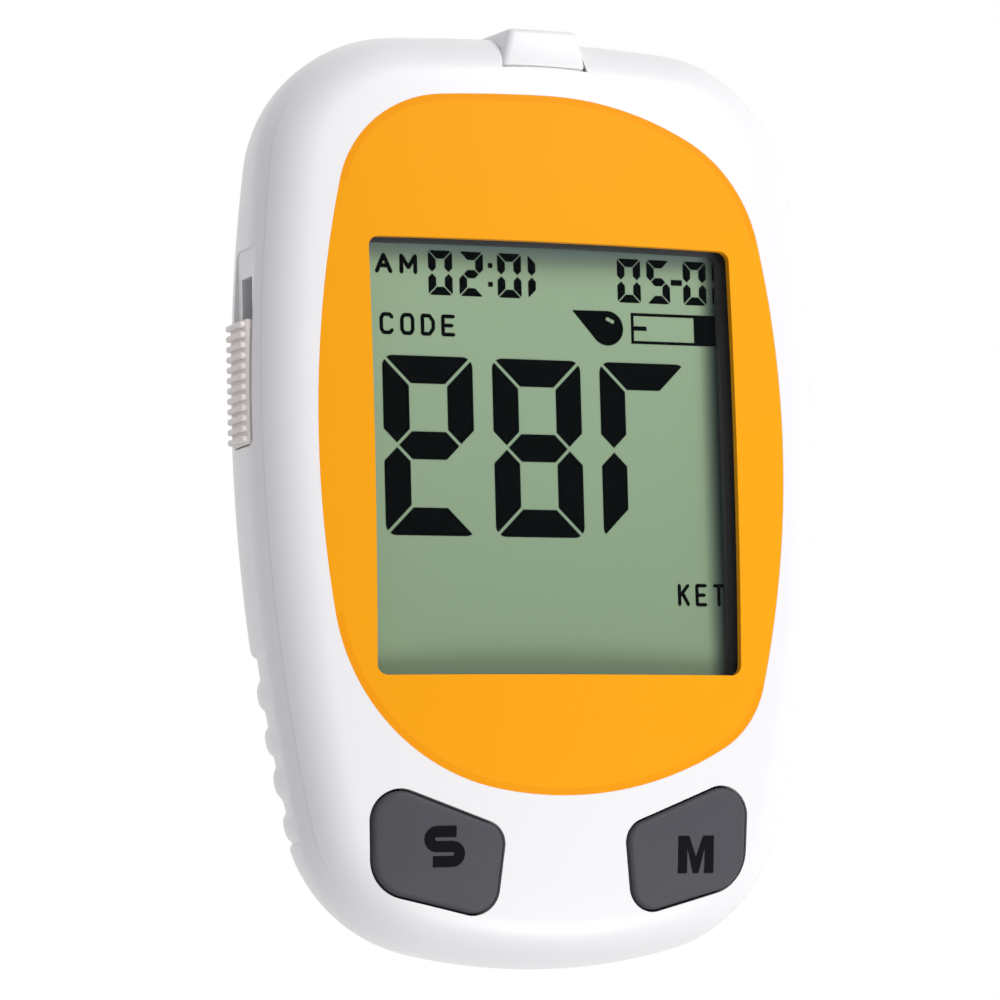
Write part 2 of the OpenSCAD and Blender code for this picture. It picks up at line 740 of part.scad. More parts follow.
module ejector_slider() {
    face_x = -side_x(slider_y);
    ridges = 12;
    color([0.72, 0.7, 0.67]) {
        block([face_x, slider_y - slider_len / 2, slider_z - slider_h / 2],
            [face_x + knob_t - slider_proud, slider_y + slider_len / 2, slider_z + slider_h / 2]);
        for (i = [0:ridges - 1])
            translate([0, slider_y - slider_len / 2 + (i + 0.5) * slider_len / ridges, 0])
                block([face_x - slider_proud, -slider_len / ridges * 0.3, slider_z - slider_h / 2],
                    [face_x + 0.1, slider_len / ridges * 0.3, slider_z + slider_h / 2]);
        block([face_x + 0.1, slider_y - neck_w / 2, slider_z - neck_h / 2],
            [plate_x - 0.03, slider_y + neck_w / 2, slider_z + neck_h / 2]);
    }
}

module ejector_arm() {
    finger_end = connector_y[0] + 1;
    color([0.5, 0.52, 0.56]) {
        block([plate_x, slider_y - slider_len / 2, strip_z - arm_t / 2], [plate_x + 1.4, arm_y, slider_z + 2]);
        block([plate_x, arm_y - arm_w, strip_z - arm_t / 2], [finger_w / 2, arm_y, strip_z + arm_t / 2]);
        block([-finger_w / 2, arm_y - 1, strip_z - 0.3], [finger_w / 2, finger_end, strip_z + 0.3]);
    }
}

// ---- Coil springs -----------------------------------------------------------

// Coil along +Y: radius goes from r0 to r1 over length, wire is its thickness
module coil(r0, r1, length, turns, wire) {
    steps = 14;
    sides = 6;
    count = turns * steps;
    rings = [for (i = [0:count]) let (t = i / count, a = 360 * i / steps, r = r0 + (r1 - r0) * t)
        [for (k = [0:sides - 1]) let (b = -360 * k / sides, q = r + wire / 2 * cos(b))
            [q * cos(a), t * length + wire / 2 * sin(b), q * sin(a)]]];
    loft(rings);
}

module ejector_spring() {
    color(steel) translate([spring_x, spring_y, strip_z]) coil(1.3, 1.3, spring_len, 8, 0.4);
}

// ---- Batteries --------------------------------------------------------------

// turn is 0 where the positive end points to +Y, and 180 where it points to -Y
module cell(x, turn) {
    color([0.2, 0.45, 0.4]) translate([x, cell_y, cell_z]) rotate([-90 + turn, 0, 0])
        translate([0, 0, -cell_len / 2]) {
            cylinder(r = cell_d / 2, h = cell_len - 0.8);
            cylinder(r = 1.9, h = cell_len);
        }
}

module battery_left() cell(-cell_x, 0);
module battery_right() cell(cell_x, 180);

// Puts a contact at the positive (s = 1) or negative (s = -1) end of each cell, facing the cell
module at_cell_ends(s) {
    for (side = [-1, 1]) translate([side * cell_x, cell_y, cell_z])
        rotate([0, 0, side * s < 0 ? 0 : 180])
            translate([0, cell_len / 2, 0]) children();
}

contact_reach = (bay_len - cell_len) / 2;

module positive_contacts() {
    color(steel) at_cell_ends(1) {
        translate([0, 0.1, 0]) rotate([-90, 0, 0]) cylinder(r = 2.2, h = contact_reach - 0.5);
        block([-3.6, contact_reach - 0.5, -4], [3.6, contact_reach - 0.1, 4]);
    }
}

module negative_springs() {
    color(steel) at_cell_ends(-1) {
        translate([0, 0.35, 0]) coil(1.6, 3.1, contact_reach - 1.05, 2.5, 0.4);
        block([-3.6, contact_reach - 0.45, -4], [3.6, contact_reach - 0.1, 4]);
    }
}

module battery_door() {
    door_w = bay_w - 0.5;
    y = [bay_y + 0.3, bay_y + bay_len - 0.3];
    color(cover_white) difference() {
        union() {
            block([-door_w / 2, y[0], 0], [door_w / 2, y[1], door_t]);
            for (x = [-1, 1]) translate([x * (bay_w / 2 - 1), 0, 0]) {
                block([-0.7, hinge_y - 1.4, door_t - 0.1], [0.7, hinge_y - 0.4, floor_t + 1]);
                block([-0.7, hinge_y - 1.4, floor_t + 0.25], [0.7, hinge_y + 1.8, floor_t + 1]);
            }
        }
        for (i = [0:3]) translate([-5, bay_y + 6 + 1.6 * i, -0.1]) cube([10, 0.7, 0.5]);
    }
}

front_cover();
back_cover();
face_panel();
display_window();
display_gasket();
lcd_glass();
lcd_segments();
lcd_frame();
zebra_strips();
set_button();
memory_button();
key_domes();
circuit_board();
processor_chip();
reader_chip();
crystal_can();
buzzer();
board_components();
strip_connector();
strip_contacts();
port_guide();
ejector_slider();
ejector_arm();
ejector_spring();
battery_left();
battery_right();
positive_contacts();
negative_springs();
battery_door();
rating_label();
board_screws();
housing_screws();
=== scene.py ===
"""Blood glucose meter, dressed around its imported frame. Lengths are in millimetres until a mesh is placed."""

import json
import math

import bmesh
import bpy
from mathutils import Matrix, Vector

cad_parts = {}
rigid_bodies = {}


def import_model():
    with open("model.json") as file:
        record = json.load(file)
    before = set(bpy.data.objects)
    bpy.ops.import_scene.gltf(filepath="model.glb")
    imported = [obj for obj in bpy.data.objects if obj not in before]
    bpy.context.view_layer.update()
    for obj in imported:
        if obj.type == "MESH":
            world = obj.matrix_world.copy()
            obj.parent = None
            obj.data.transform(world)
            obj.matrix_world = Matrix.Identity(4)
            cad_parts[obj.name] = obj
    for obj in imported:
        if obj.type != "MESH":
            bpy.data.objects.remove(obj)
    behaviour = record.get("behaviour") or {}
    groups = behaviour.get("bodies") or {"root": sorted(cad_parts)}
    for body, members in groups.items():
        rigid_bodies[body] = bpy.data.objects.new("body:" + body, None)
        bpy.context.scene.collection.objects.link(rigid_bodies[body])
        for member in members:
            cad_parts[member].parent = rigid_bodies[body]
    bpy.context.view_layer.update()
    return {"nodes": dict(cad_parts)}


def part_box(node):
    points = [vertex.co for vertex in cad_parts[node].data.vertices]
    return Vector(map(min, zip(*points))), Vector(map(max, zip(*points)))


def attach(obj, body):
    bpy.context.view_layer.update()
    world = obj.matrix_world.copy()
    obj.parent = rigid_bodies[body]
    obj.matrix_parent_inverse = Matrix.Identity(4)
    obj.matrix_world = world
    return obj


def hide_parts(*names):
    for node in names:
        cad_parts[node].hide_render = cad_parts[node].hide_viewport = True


for old in list(bpy.data.objects):
    bpy.data.objects.remove(old)
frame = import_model()

MM = 0.001


def node_box(name):
    """Lowest and highest corner of a node, in millimetres."""
    low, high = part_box(name)
    return Vector(low) / MM, Vector(high) / MM


# ---- Sizes ------------------------------------------------------------------

BACK_LOW, BACK_HIGH = node_box("back_cover")
PANEL_LOW, PANEL_HIGH = node_box("face_panel")
LENS_LOW, LENS_HIGH = node_box("display_window")
DOOR_LOW, DOOR_HIGH = node_box("battery_door")
LABEL_LOW, LABEL_HIGH = node_box("rating_label")
SLIDER_LOW, SLIDER_HIGH = node_box("ejector_slider")
NOSE_LOW, NOSE_HIGH = node_box("port_guide")
CELLS_LOW, CELLS_HIGH = node_box("battery_left")
LCD_TOP = node_box("lcd_glass")[1].z

HALF_W = BACK_HIGH.x
TOP_Y = BACK_HIGH.y
LOW_Y = BACK_LOW.y
LENS_DROP = 0.95                 # depth of the lens below the face
LENS_T = 1
CROWN = LENS_HIGH.z + LENS_DROP
DOME_RX = 180
DOME_RY = 400
DOME_Y = (TOP_Y + LOW_Y) / 2 + 5.3
SHOULDER = 5
SEAM_DROP = 2.2                  # depth of the seam below the face
SEAM = 0.05
WALL = 2.2
FLOOR = 1.6
ROUND_IN = 11                    # rounding of the back, across and up
ROUND_UP = 12.4
BODY_RADII = (300, 15.7, 191, 16.9, 62)
BODY_WIDEST = TOP_Y - 40.2
PANEL_RADII = (36, 15, 112, 10, 38)
PANEL_LEFT_RADII = (200, 12.4, 114, 22, 38)
PANEL_WIDEST = PANEL_HIGH.y - 36.3
PANEL_T = 0.8
PANEL_GAP = 0.1                  # round the panel and under it
PRINT_DROP = 0.02                # depth of the printed face below the dome
LIP_ROUND = (-0.06, 0.04)        # inset and drop of the rounded lip round the panel
WINDOW_SIDE = 5.8
WINDOW_W = PANEL_HIGH.x * 2 - 2 * WINDOW_SIDE
WINDOW_Y = (LENS_LOW.y + LENS_HIGH.y) / 2
WINDOW_H = LENS_HIGH.y - LENS_LOW.y - 3
WINDOW_R = 1.1
COVER_HOLE = (WINDOW_W + 3, WINDOW_H + 3.2)
KEY_CIRCLES = ((-4.75, 0.65, 2.3), (4.05, 3.25, 3), (2.75, -0.4, 4.2), (-3.95, -3.75, 2.6))
KEY_X = HALF_W - 18.25
KEY_Y = LOW_Y + 12.2
KEY_PROUD = 0.5
KEY_GAP = 0.25
KEY_STEPS = 96
KEY_BULGE = 0.18                 # crowning of a key's top
KEY_SLOPE = 4                    # distance from the edge at which it is full
KEY_REACH = 6                    # distance from a key's edge to its middle
KEY_EDGE = 0.55
KEY_FLANGE = 1.2                 # width of the flange under the cover
KEY_FLANGE_DROPS = (2.75, 2.35)  # depth of its lower and its upper side
GRIP_YS = (LOW_Y + 13.4, LOW_Y + 32.5)
GRIP_ZS = (3, CROWN - 5)
RIB_YS = [LOW_Y + up for up in (14.9, 19.5, 23.9, 28.6)]
RIB_HALF = 1.5
GRIP_DEEP = 0.6
GRIP_FADE = 0.7                  # distance over which the recess ends
GRIP_SPREAD = 0.5                # how far that goes past its lower and upper edge
SMOOTH = math.radians(35)
BACK_SMOOTH = math.radians(28)
FACE_CUT = (5, CROWN + 5)        # heights between which the face's openings are cut
PAST = 5                         # how far a cut goes past the skin


# ---- Curves -----------------------------------------------------------------

def angle_to(a, b):
    return math.atan2(b.y - a.y, b.x - a.x)


def heading(turn):
    return Vector((math.cos(turn), math.sin(turn)))


def touching(a, ra, b, rb):
    """Centre of a circle inside circles a and b that touches both, on the outer side."""
    reach = (b - a).length
    along = (reach * reach + ra * ra - rb * rb) / (2 * reach)
    out = math.sqrt(ra * ra - along * along)
    way = (b - a) / reach
    return a + way * along - Vector((-way.y, way.x)) * out


def half_outline(half_w, top, low, widest, radii, steps):
    """The right half of an outline, five arcs from the top end to the lower end, as (point, outward normal)."""
    r1, r2, r3, r4, r5 = radii
    c1 = Vector((0, top - r1))
    c3 = Vector((half_w - r3, widest))
    c5 = Vector((0, low + r5))
    c2 = touching(c1, r1 - r2, c3, r3 - r2)
    c4 = touching(c3, r3 - r4, c5, r5 - r4)
    turns = (math.pi / 2, angle_to(c1, c2), angle_to(c3, c2), angle_to(c3, c4), angle_to(c5, c4),
             -math.pi / 2)
    half = []
    for k, (centre, radius) in enumerate(zip((c1, c2, c3, c4, c5), radii)):
        for j in range(steps[k]):
            turn = turns[k] + (turns[k + 1] - turns[k]) * j / steps[k]
            normal = heading(turn)
            half.append((centre + normal * radius, normal))
    half.append((Vector((0, low)), Vector((0, -1))))
    return half


def outline(right, left):
    """Closed outline, clockwise from the top end."""
    return right + [(Vector((-p.x, p.y)), Vector((-n.x, n.y))) for p, n in left[-2:0:-1]]


def body_outline(steps):
    half = half_outline(HALF_W, TOP_Y, LOW_Y, BODY_WIDEST, BODY_RADII, steps)
    return outline(half, half)


def panel_outline(steps):
    return outline(*(half_outline(PANEL_HIGH.x, PANEL_HIGH.y, PANEL_LOW.y, PANEL_WIDEST, radii, steps)
                     for radii in (PANEL_RADII, PANEL_LEFT_RADII)))


def key_outline(steps, side):
    """Outline round the key's four circles, as (point, outward normal)."""
    edge = []
    for j in range(steps):
        turn = 2 * math.pi * j / steps
        normal = heading(turn)
        x, y, r = max(KEY_CIRCLES, key=lambda c: c[0] * normal.x + c[1] * normal.y + c[2])
        point = Vector((x, y)) + normal * r
        spot = Vector((side * (KEY_X + point.x), KEY_Y + point.y))
        edge.append((spot, Vector((side * normal.x, normal.y))))
    return edge


def rounded_rect(w, h, r, centre, steps=6, along=1):
    """Outline of a rectangle with round corners, as (point, outward normal)."""
    edge = []
    corners = [Vector(centre) + Vector((sx * (w / 2 - r), sy * (h / 2 - r)))
               for sx, sy in ((1, 1), (-1, 1), (-1, -1), (1, -1))]
    for k, corner in enumerate(corners):
        for j in range(steps + 1):
            turn = math.pi / 2 * (k + j / steps)
            normal = heading(turn)
            edge.append((corner + normal * r, normal))
        start, end = edge[-1][0], corners[(k + 1) % 4] + normal * r
        edge += [(start.lerp(end, i / along), normal) for i in range(1, along)]
    return edge


def face_z(x, y):
    """Height of the domed face."""
    out = DOME_RY - DOME_RX + math.sqrt(DOME_RX * DOME_RX - x * x)
    return CROWN - DOME_RY + math.sqrt(out * out - (y - DOME_Y) ** 2)


def flat_ring(edge, inset, z):
    points = [p - n * inset for p, n in edge]
    return [(p.x, p.y, z) for p in points]


def domed_ring(edge, inset, drop):
    points = [p - n * inset for p, n in edge]
    return [(p.x, p.y, face_z(p.x, p.y) - drop) for p in points]


def between(ring_a, ring_b, t, drop=None):
    """Ring part of the way from one to the other, laid on the dome if a drop is given."""
    points = [Vector(a).lerp(Vector(b), t) for a, b in zip(ring_a, ring_b)]
    return [(p.x, p.y, p.z if drop is None else face_z(p.x, p.y) - drop) for p in points]


def shrunk(ring, k, drop=None):
    """Ring drawn in towards the middle of the body."""
    points = [(x * k, DOME_Y + (y - DOME_Y) * k, z) for x, y, z in ring]
    return points if drop is None else [(x, y, face_z(x, y) - drop) for x, y, z in points]


# ---- Modelling --------------------------------------------------------------

def pick(piece):
    """Makes a piece the only one that is selected."""
    bpy.ops.object.select_all(action="DESELECT")
    piece.select_set(True)
    bpy.context.view_layer.objects.active = piece


def added(name, operator, **settings):
    """A new piece, made by one of the operators that add a primitive."""
    bpy.ops.object.select_all(action="DESELECT")
    operator(**settings)
    piece = bpy.context.object
    piece.name = name
    return piece


def edit(piece):
    pick(piece)
    bpy.ops.object.mode_set(mode="EDIT")


def leave_edit():
    bpy.ops.object.mode_set(mode="OBJECT")


def tidy(piece):
    """Merges doubles and turns all faces outwards."""
    edit(piece)
    bpy.ops.mesh.select_all(action="SELECT")
    bpy.ops.mesh.remove_doubles(threshold=0.001 * MM)
    bpy.ops.mesh.normals_make_consistent(inside=False)
    leave_edit()


def ringed(name, rings):
    """A closed surface: a circle put on the first ring, then extruded from ring to ring."""
    piece = added(name, bpy.ops.mesh.primitive_circle_add, vertices=len(rings[0]), radius=MM)
    edit(piece)
    bpy.ops.mesh.select_all(action="SELECT")
    mesh = bmesh.from_edit_mesh(piece.data)
    mesh.verts.ensure_lookup_table()
    line = list(range(len(rings[0])))
    for i in line:
        mesh.verts[i].co = Vector(rings[0][i]) * MM
    for ring in rings[1:]:
        bpy.ops.mesh.extrude_edges_move()
        mesh = bmesh.from_edit_mesh(piece.data)
        mesh.verts.ensure_lookup_table()
        grown = []
        for i in line:
            start = mesh.verts[i]
            grown.append(next(e.other_vert(start) for e in start.link_edges if e.other_vert(start).select))
        for vertex, point in zip(grown, ring):
            vertex.co = Vector(point) * MM
        line = [vertex.index for vertex in grown]
    bmesh.update_edit_mesh(piece.data)
    leave_edit()
    tidy(piece)
    return piece


def prism(name, edge, low, high, grow=0):
    """A straight-sided solid on an outline."""
    rings = [flat_ring(edge, -grow, low), flat_ring(edge, -grow, high)]
    middle = sum((p for p, _ in edge), Vector((0, 0))) / len(edge)
    ends = [[(middle.x, middle.y, z)] * len(edge) for z in (low, high)]
    return ringed(name, [ends[0], *rings, ends[1]])


def block(name, low, high, radius=0, segments=3, along=None):
    """A box with its edges rounded: all of them, or those that run along one axis."""
    low, high = Vector(low), Vector(high)
    piece = added(name, bpy.ops.mesh.primitive_cube_add, size=1, location=(low + high) / 2 * MM,
                  scale=(high - low) * MM)
    bpy.ops.object.transform_apply(location=True, rotation=True, scale=True)
    if radius:
        edit(piece)
        bpy.ops.mesh.select_mode(type="EDGE")
        bpy.ops.mesh.select_all(action="DESELECT")
        mesh = bmesh.from_edit_mesh(piece.data)
        for e in mesh.edges:
            way = (e.verts[1].co - e.verts[0].co).normalized()
            e.select_set(along is None or abs(way[along]) > 0.9)
        bmesh.update_edit_mesh(piece.data)
        bpy.ops.mesh.bevel(offset=radius * MM, segments=segments, affect="EDGES")
        leave_edit()
    return piece


def rod(name, centre, radius, low, high, axis="Z", sides=40):
    """A round solid between two places on its axis."""
    turn = {"X": (0, math.pi / 2, 0), "Y": (math.pi / 2, 0, 0), "Z": (0, 0, 0)}[axis]
    place = Vector(centre)
    place["XYZ".index(axis)] = (low + high) / 2
    piece = added(name, bpy.ops.mesh.primitive_cylinder_add, vertices=sides, radius=radius * MM,
                  depth=(high - low) * MM, location=place * MM, rotation=turn)
    bpy.ops.object.transform_apply(location=True, rotation=True, scale=True)
    return piece


def change(piece, kind, **settings):
    """Adds a modifier and applies it."""
    modifier = piece.modifiers.new(kind.title(), kind)
    for key, value in settings.items():
        setattr(modifier, key, value)
    pick(piece)
    bpy.ops.object.modifier_apply(modifier=modifier.name)


def cut(piece, *tools, way="DIFFERENCE"):
    """Takes the tools away from a piece, or joins or crosses them with it, and deletes them."""
    for tool in tools:
        change(piece, "BOOLEAN", operation=way, object=tool, solver="EXACT")
        bpy.data.objects.remove(tool)
    return piece


def smooth(piece, angle=SMOOTH):
    pick(piece)
    bpy.ops.object.shade_smooth_by_angle(angle=angle)


def finish_piece(piece, body, material, *nodes, angle=SMOOTH):
    """Gives a modelled piece its finish, its body and the nodes that it stands for."""
    smooth(piece, angle)
    if material:
        piece.data.materials.clear()
        piece.data.materials.append(material)
    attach(piece, body)
    if nodes:
        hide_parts(*nodes)
    return piece


# ---- Finishes ---------------------------------------------------------------

class Finish:
    """A node material that starts from the piece's own coordinates."""

    def __init__(self, name, roughness=0.4, **sockets):
        self.material = bpy.data.materials.new(name)
        self.material.use_nodes = True
        self.tree = self.material.node_tree
        self.shader = self.tree.nodes["Principled BSDF"]
        self.shader.inputs["Roughness"].default_value = roughness
        for key, value in sockets.items():
            self.shader.inputs[key.replace("_", " ")].default_value = value
        self.place = self.tree.nodes.new("ShaderNodeTexCoord").outputs["Object"]

    def node(self, kind, inputs=(), **settings):
        made = self.tree.nodes.new("ShaderNode" + kind)
        for key, value in settings.items():
            setattr(made, key, value)
        for key, value in dict(inputs).items():
            if isinstance(value, bpy.types.NodeSocket):
                self.tree.links.new(value, made.inputs[key])
            else:
                made.inputs[key].default_value = value
        return made

    def math(self, operation, *values):
        made = self.node("Math", operation=operation, inputs={i: v for i, v in enumerate(values)})
        return made.outputs[0]

    def noise(self, scale, detail=2, stretch=(1, 1, 1)):
        mapped = self.node("Mapping", {"Vector": self.place, "Scale": stretch})
        made = self.node("TexNoise", {"Vector": mapped.outputs[0], "Scale": scale, "Detail": detail})
        return made.outputs["Fac"]

    def mix(self, factor, a, b):
        made = self.node("Mix", data_type="RGBA")
        for socket, value in ((made.inputs[0], factor), (made.inputs[6], a), (made.inputs[7], b)):
            if isinstance(value, bpy.types.NodeSocket):
                self.tree.links.new(value, socket)
            else:
                socket.default_value = value
        return made.outputs[2]

    def colour(self, socket):
        self.tree.links.new(socket, self.shader.inputs["Base Color"])

    def bump(self, height, distance):
        made = self.node("Bump", {"Height": height, "Strength": 1.0, "Distance": distance * MM})
        self.tree.links.new(made.outputs[0], self.shader.inputs["Normal"])

    def ramp(self, value, low, high, to_low=0, to_high=1):
        made = self.node("MapRange", {"Value": value, "From Min": low, "From Max": high,
                                      "To Min": to_low, "To Max": to_high})
        return made.outputs[0]

    def rough(self, factor, low, high):
        self.tree.links.new(self.ramp(factor, 0, 1, low, high), self.shader.inputs["Roughness"])


def linear(r, g, b):
    """An sRGB colour of 0 to 255 as linear values."""
    steps = [c / 255 for c in (r, g, b)]
    return tuple(c / 12.92 if c <= 0.04045 else ((c + 0.055) / 1.055) ** 2.4 for c in steps) + (1,)


def moulded(name, colour, roughness, grain=2600, depth=0.004, cloud=0.03, **sockets):
    """Moulded plastic: a fine spark-eroded grain and a slight cloud in its colour."""
    made = Finish(name, roughness, **sockets)
    fine = made.noise(grain, 3)
    broad = made.noise(60, 2)
    shade = tuple(c * (1 - 2 * cloud) for c in colour[:3]) + (1,)
    made.colour(made.mix(broad, colour, shade))
    made.bump(fine, depth)
    made.rough(fine, roughness - 0.05, roughness + 0.08)
    return made.material


def metal(name, colour, roughness, stretch=(1, 1, 1), grain=1800, depth=0.002):
    """Metal with fine marks of its drawing or rolling."""
    made = Finish(name, roughness, Metallic=1.0)
    marks = made.noise(grain, 3, stretch)
    shade = tuple(c * 0.82 for c in colour[:3]) + (1,)
    made.colour(made.mix(marks, colour, shade))
    made.bump(marks, depth)
    made.rough(marks, roughness - 0.06, roughness + 0.1)
    return made.material


def make_finishes():
    made = {
        "white": moulded("cover_white", linear(244, 243, 243), 0.34, depth=0.002, cloud=0.006),
        "door": moulded("door_white", linear(248, 248, 247), 0.38, depth=0.003, cloud=0.008),
        "bay": moulded("bay_white", linear(240, 240, 238), 0.5),
        "slider": moulded("slider_grey", linear(244, 238, 232), 0.5, grain=3200, depth=0.006),
        "arm": moulded("arm_grey", linear(150, 150, 168), 0.45),
        "frame": moulded("frame_dark", linear(74, 77, 80), 0.5),
        "key": moulded("key_grey", linear(77, 75, 81), 0.5, grain=3400, depth=0.008, cloud=0.04,
                       Specular_IOR_Level=0.25),
        "print": moulded("print_black", linear(20, 20, 23), 0.7, Specular_IOR_Level=0.05),
        "segment": moulded("segment_black", linear(4, 5, 4), 0.8, depth=0, Specular_IOR_Level=0.0),
        "rubber": moulded("gasket_black", linear(26, 26, 28), 0.8, grain=1400, depth=0.02),
        "zebra": moulded("zebra_pink", linear(224, 160, 170), 0.6),
        "chip": moulded("chip_black", linear(30, 30, 32), 0.55),
        "tan": moulded("component_tan", linear(186, 160, 120), 0.5),
        "ivory": moulded("connector_ivory", linear(236, 230, 210), 0.42),
        "label": moulded("label_silver", linear(214, 214, 216), 0.32, grain=900, depth=0.001),
        "steel": metal("steel", linear(200, 200, 204), 0.28),
        "gold": metal("contact_gold", linear(222, 180, 96), 0.25),
    }
    made["panel"] = panel_finish("panel_orange", linear(255, 170, 22))
    made["panel_edge"] = panel_finish("panel_edge", linear(252, 162, 20))
    made["lens"] = lens_finish()
    made["lcd"] = lcd_finish()
    made["board"] = board_finish()
    made["cell"] = cell_finish()
    return made


def panel_finish(name, colour):
    """Printed sheet: satin orange."""
    made = Finish(name, 0.5, Specular_IOR_Level=0.06)
    fine = made.noise(2400, 3)
    shade = tuple(c * 0.97 for c in colour[:3]) + (1,)
    made.colour(made.mix(made.noise(80, 2), colour, shade))
    made.bump(fine, 0.0015)
    made.rough(fine, 0.38, 0.5)
    return made.material


def lens_finish():
    made = Finish("lens_clear", 0.05, Alpha=0.03, IOR=1.49)
    made.colour(made.mix(made.noise(40, 2), linear(60, 72, 76), linear(54, 66, 72)))
    made.rough(made.noise(700, 2), 0.03, 0.09)
    return made.material


TOP_SHADE = 2.2                  # width of the shadow along the display's top edge
SIDE_SHADE = (2.4, 0.4)          # distances from its right edge between which it darkens


def lcd_finish():
    """Reflective display: grey-green, deeper towards its lower end, shaded at its top and right edges."""
    made = Finish("lcd_green", 0.5, Specular_IOR_Level=0.1)
    x, y, _ = made.node("SeparateXYZ", {"Vector": made.place}).outputs
    low, high, right = WINDOW_Y - WINDOW_H / 2, WINDOW_Y + WINDOW_H / 2, WINDOW_W / 2
    slope = made.ramp(y, low * MM, high * MM)
    top_shade = made.ramp(y, (high - TOP_SHADE) * MM, high * MM)
    side_shade = made.ramp(x, (right - SIDE_SHADE[0]) * MM, (right - SIDE_SHADE[1]) * MM)
    field = made.mix(slope, linear(139, 163, 131), linear(160, 186, 153))
    cloud = made.mix(made.math("MULTIPLY", made.noise(90, 2), 0.4), field, linear(144, 168, 136))
    shaded = made.mix(top_shade, cloud, linear(128, 148, 142))
    made.colour(made.mix(side_shade, shaded, linear(84, 100, 94)))
    made.bump(made.noise(4200, 2), 0.001)
    return made.material


def board_finish():
    """Green solder mask with the faint relief of tracks under it."""
    made = Finish("board_green", 0.35)
    tracks = made.node("TexBrick", {"Vector": made.place, "Scale": 260, "Mortar Size": 0.04,
                                    "Color1": linear(16, 96, 60), "Color2": linear(18, 104, 66),
                                    "Mortar": linear(30, 128, 80)})
    made.colour(tracks.outputs["Color"])
    made.bump(tracks.outputs["Fac"], 0.02)
    return made.material


CELL_END = 1.6                   # bare metal at each end of a cell
CELL_BAND = 5                    # half the width of its pale band


def cell_finish():
    """Printed jacket of a cell: a plain teal sleeve with a pale band, and bare metal at its ends."""
    made = Finish("cell_jacket", 0.3, Metallic=0.6)
    parts = made.node("SeparateXYZ", {"Vector": made.place})
    middle = (CELLS_LOW.y + CELLS_HIGH.y) / 2 * MM
    reach = (CELLS_HIGH.y - CELLS_LOW.y) / 2 * MM
    along = made.math("ABSOLUTE", made.math("SUBTRACT", parts.outputs[1], middle))
    end = made.math("GREATER_THAN", along, reach - CELL_END * MM)
    band = made.math("LESS_THAN", along, CELL_BAND * MM)
    sleeve = made.mix(band, linear(54, 118, 112), linear(206, 214, 210))
    made.colour(made.mix(end, sleeve, linear(205, 205, 208)))
    made.bump(made.noise(1500, 2), 0.002)
    return made.material


# ---- Pieces -----------------------------------------------------------------

FRONT_STEPS = (16, 24, 20, 24, 16)
BACK_STEPS = (16, 26, 130, 66, 18)
SEAM_TURN = math.asin(1 - SEAM_DROP / SHOULDER)


def shoulder_rings(edge, first, last, steps, extra_drop=0):
    """Rings over the shoulder, between two angles up its quarter circle."""
    rings = []
    for j in range(steps + 1):
        turn = first + (last - first) * j / steps
        inset, drop = SHOULDER * (1 - math.cos(turn)), SHOULDER * (1 - math.sin(turn))
        rings.append(domed_ring(edge, inset, drop + extra_drop))
    return rings


def pole(z_drop=None, z=None):
    """Point on the middle line, where a closed surface ends: below the crown, or at a height."""
    return (0, DOME_Y, CROWN - z_drop if z is None else z)


NOSE_W = 9.7
NOSE_FLARE = 2.2                 # how much wider the nose is on each side at its back
NOSE_TAPER = math.tan(math.radians(13))
NOSE_Z = (NOSE_LOW.z, CROWN - 2.25)
NOSE_ROOT = TOP_Y - 3.9
NOSE_GAP = 0.06


def nose_ring(y, grow):
    """Front view of the strip port's nose at one place along it."""
    x = NOSE_W / 2 - (y - NOSE_ROOT) * NOSE_TAPER + grow
    low, high = NOSE_Z[0] - grow, NOSE_Z[1] + grow
    return [(x, y, high), (-x, y, high), (-x - NOSE_FLARE, y, low), (x + NOSE_FLARE, y, low)]


def nose_form(name, grow, low_y, high_y):
    middle = sum(NOSE_Z) / 2
    return ringed(name, [[(0, low_y, middle)] * 4, nose_ring(low_y, grow), nose_ring(high_y, grow),
                         [(0, high_y, middle)] * 4])


def nose_room():
    """What both covers leave free for the nose."""
    return nose_form("nose_cut", NOSE_GAP, NOSE_ROOT - NOSE_GAP, TOP_Y + PAST)


def front_shell(finish):
    body = body_outline(FRONT_STEPS)
    panel = panel_outline(FRONT_STEPS)
    under = domed_ring(body, SHOULDER * (1 - math.cos(SEAM_TURN)), SEAM_DROP)
    over = shoulder_rings(body, SEAM_TURN, math.pi / 2, steps=10)
    lip = domed_ring(panel, -PANEL_GAP, 0)
    seat_drop = PANEL_T + PANEL_GAP
    sill = domed_ring(panel, -PANEL_GAP, seat_drop)
    n = len(body)
    rings = [[pole(SEAM_DROP)] * n, *[shrunk(under, k, SEAM_DROP) for k in (0.3, 0.7)], under, *over[1:]]
    rings += [between(over[-1], lip, t, 0) for t in (0.25, 0.5, 0.75, 1)]
    rings += [domed_ring(panel, *LIP_ROUND), sill]
    rings += [shrunk(sill, k, seat_drop) for k in (0.8, 0.4)] + [[pole(seat_drop)] * n]
    shell = ringed("front_shell", rings)
    window = rounded_rect(*COVER_HOLE, WINDOW_R + 1, (0, WINDOW_Y))
    cut(shell, prism("window_cut", window, *FACE_CUT))
    for side in (-1, 1):
        cut(shell, prism("key_cut", key_outline(KEY_STEPS, side), *FACE_CUT, KEY_GAP))
    cut(shell, nose_room())
    return finish_piece(shell, "housing", finish, "front_cover")


def soft_step(value, low, high):
    """0 below the low value, 1 above the high one, and a smooth way between."""
    t = min(max((value - low) / (high - low), 0), 1)
    return t * t * (3 - 2 * t)


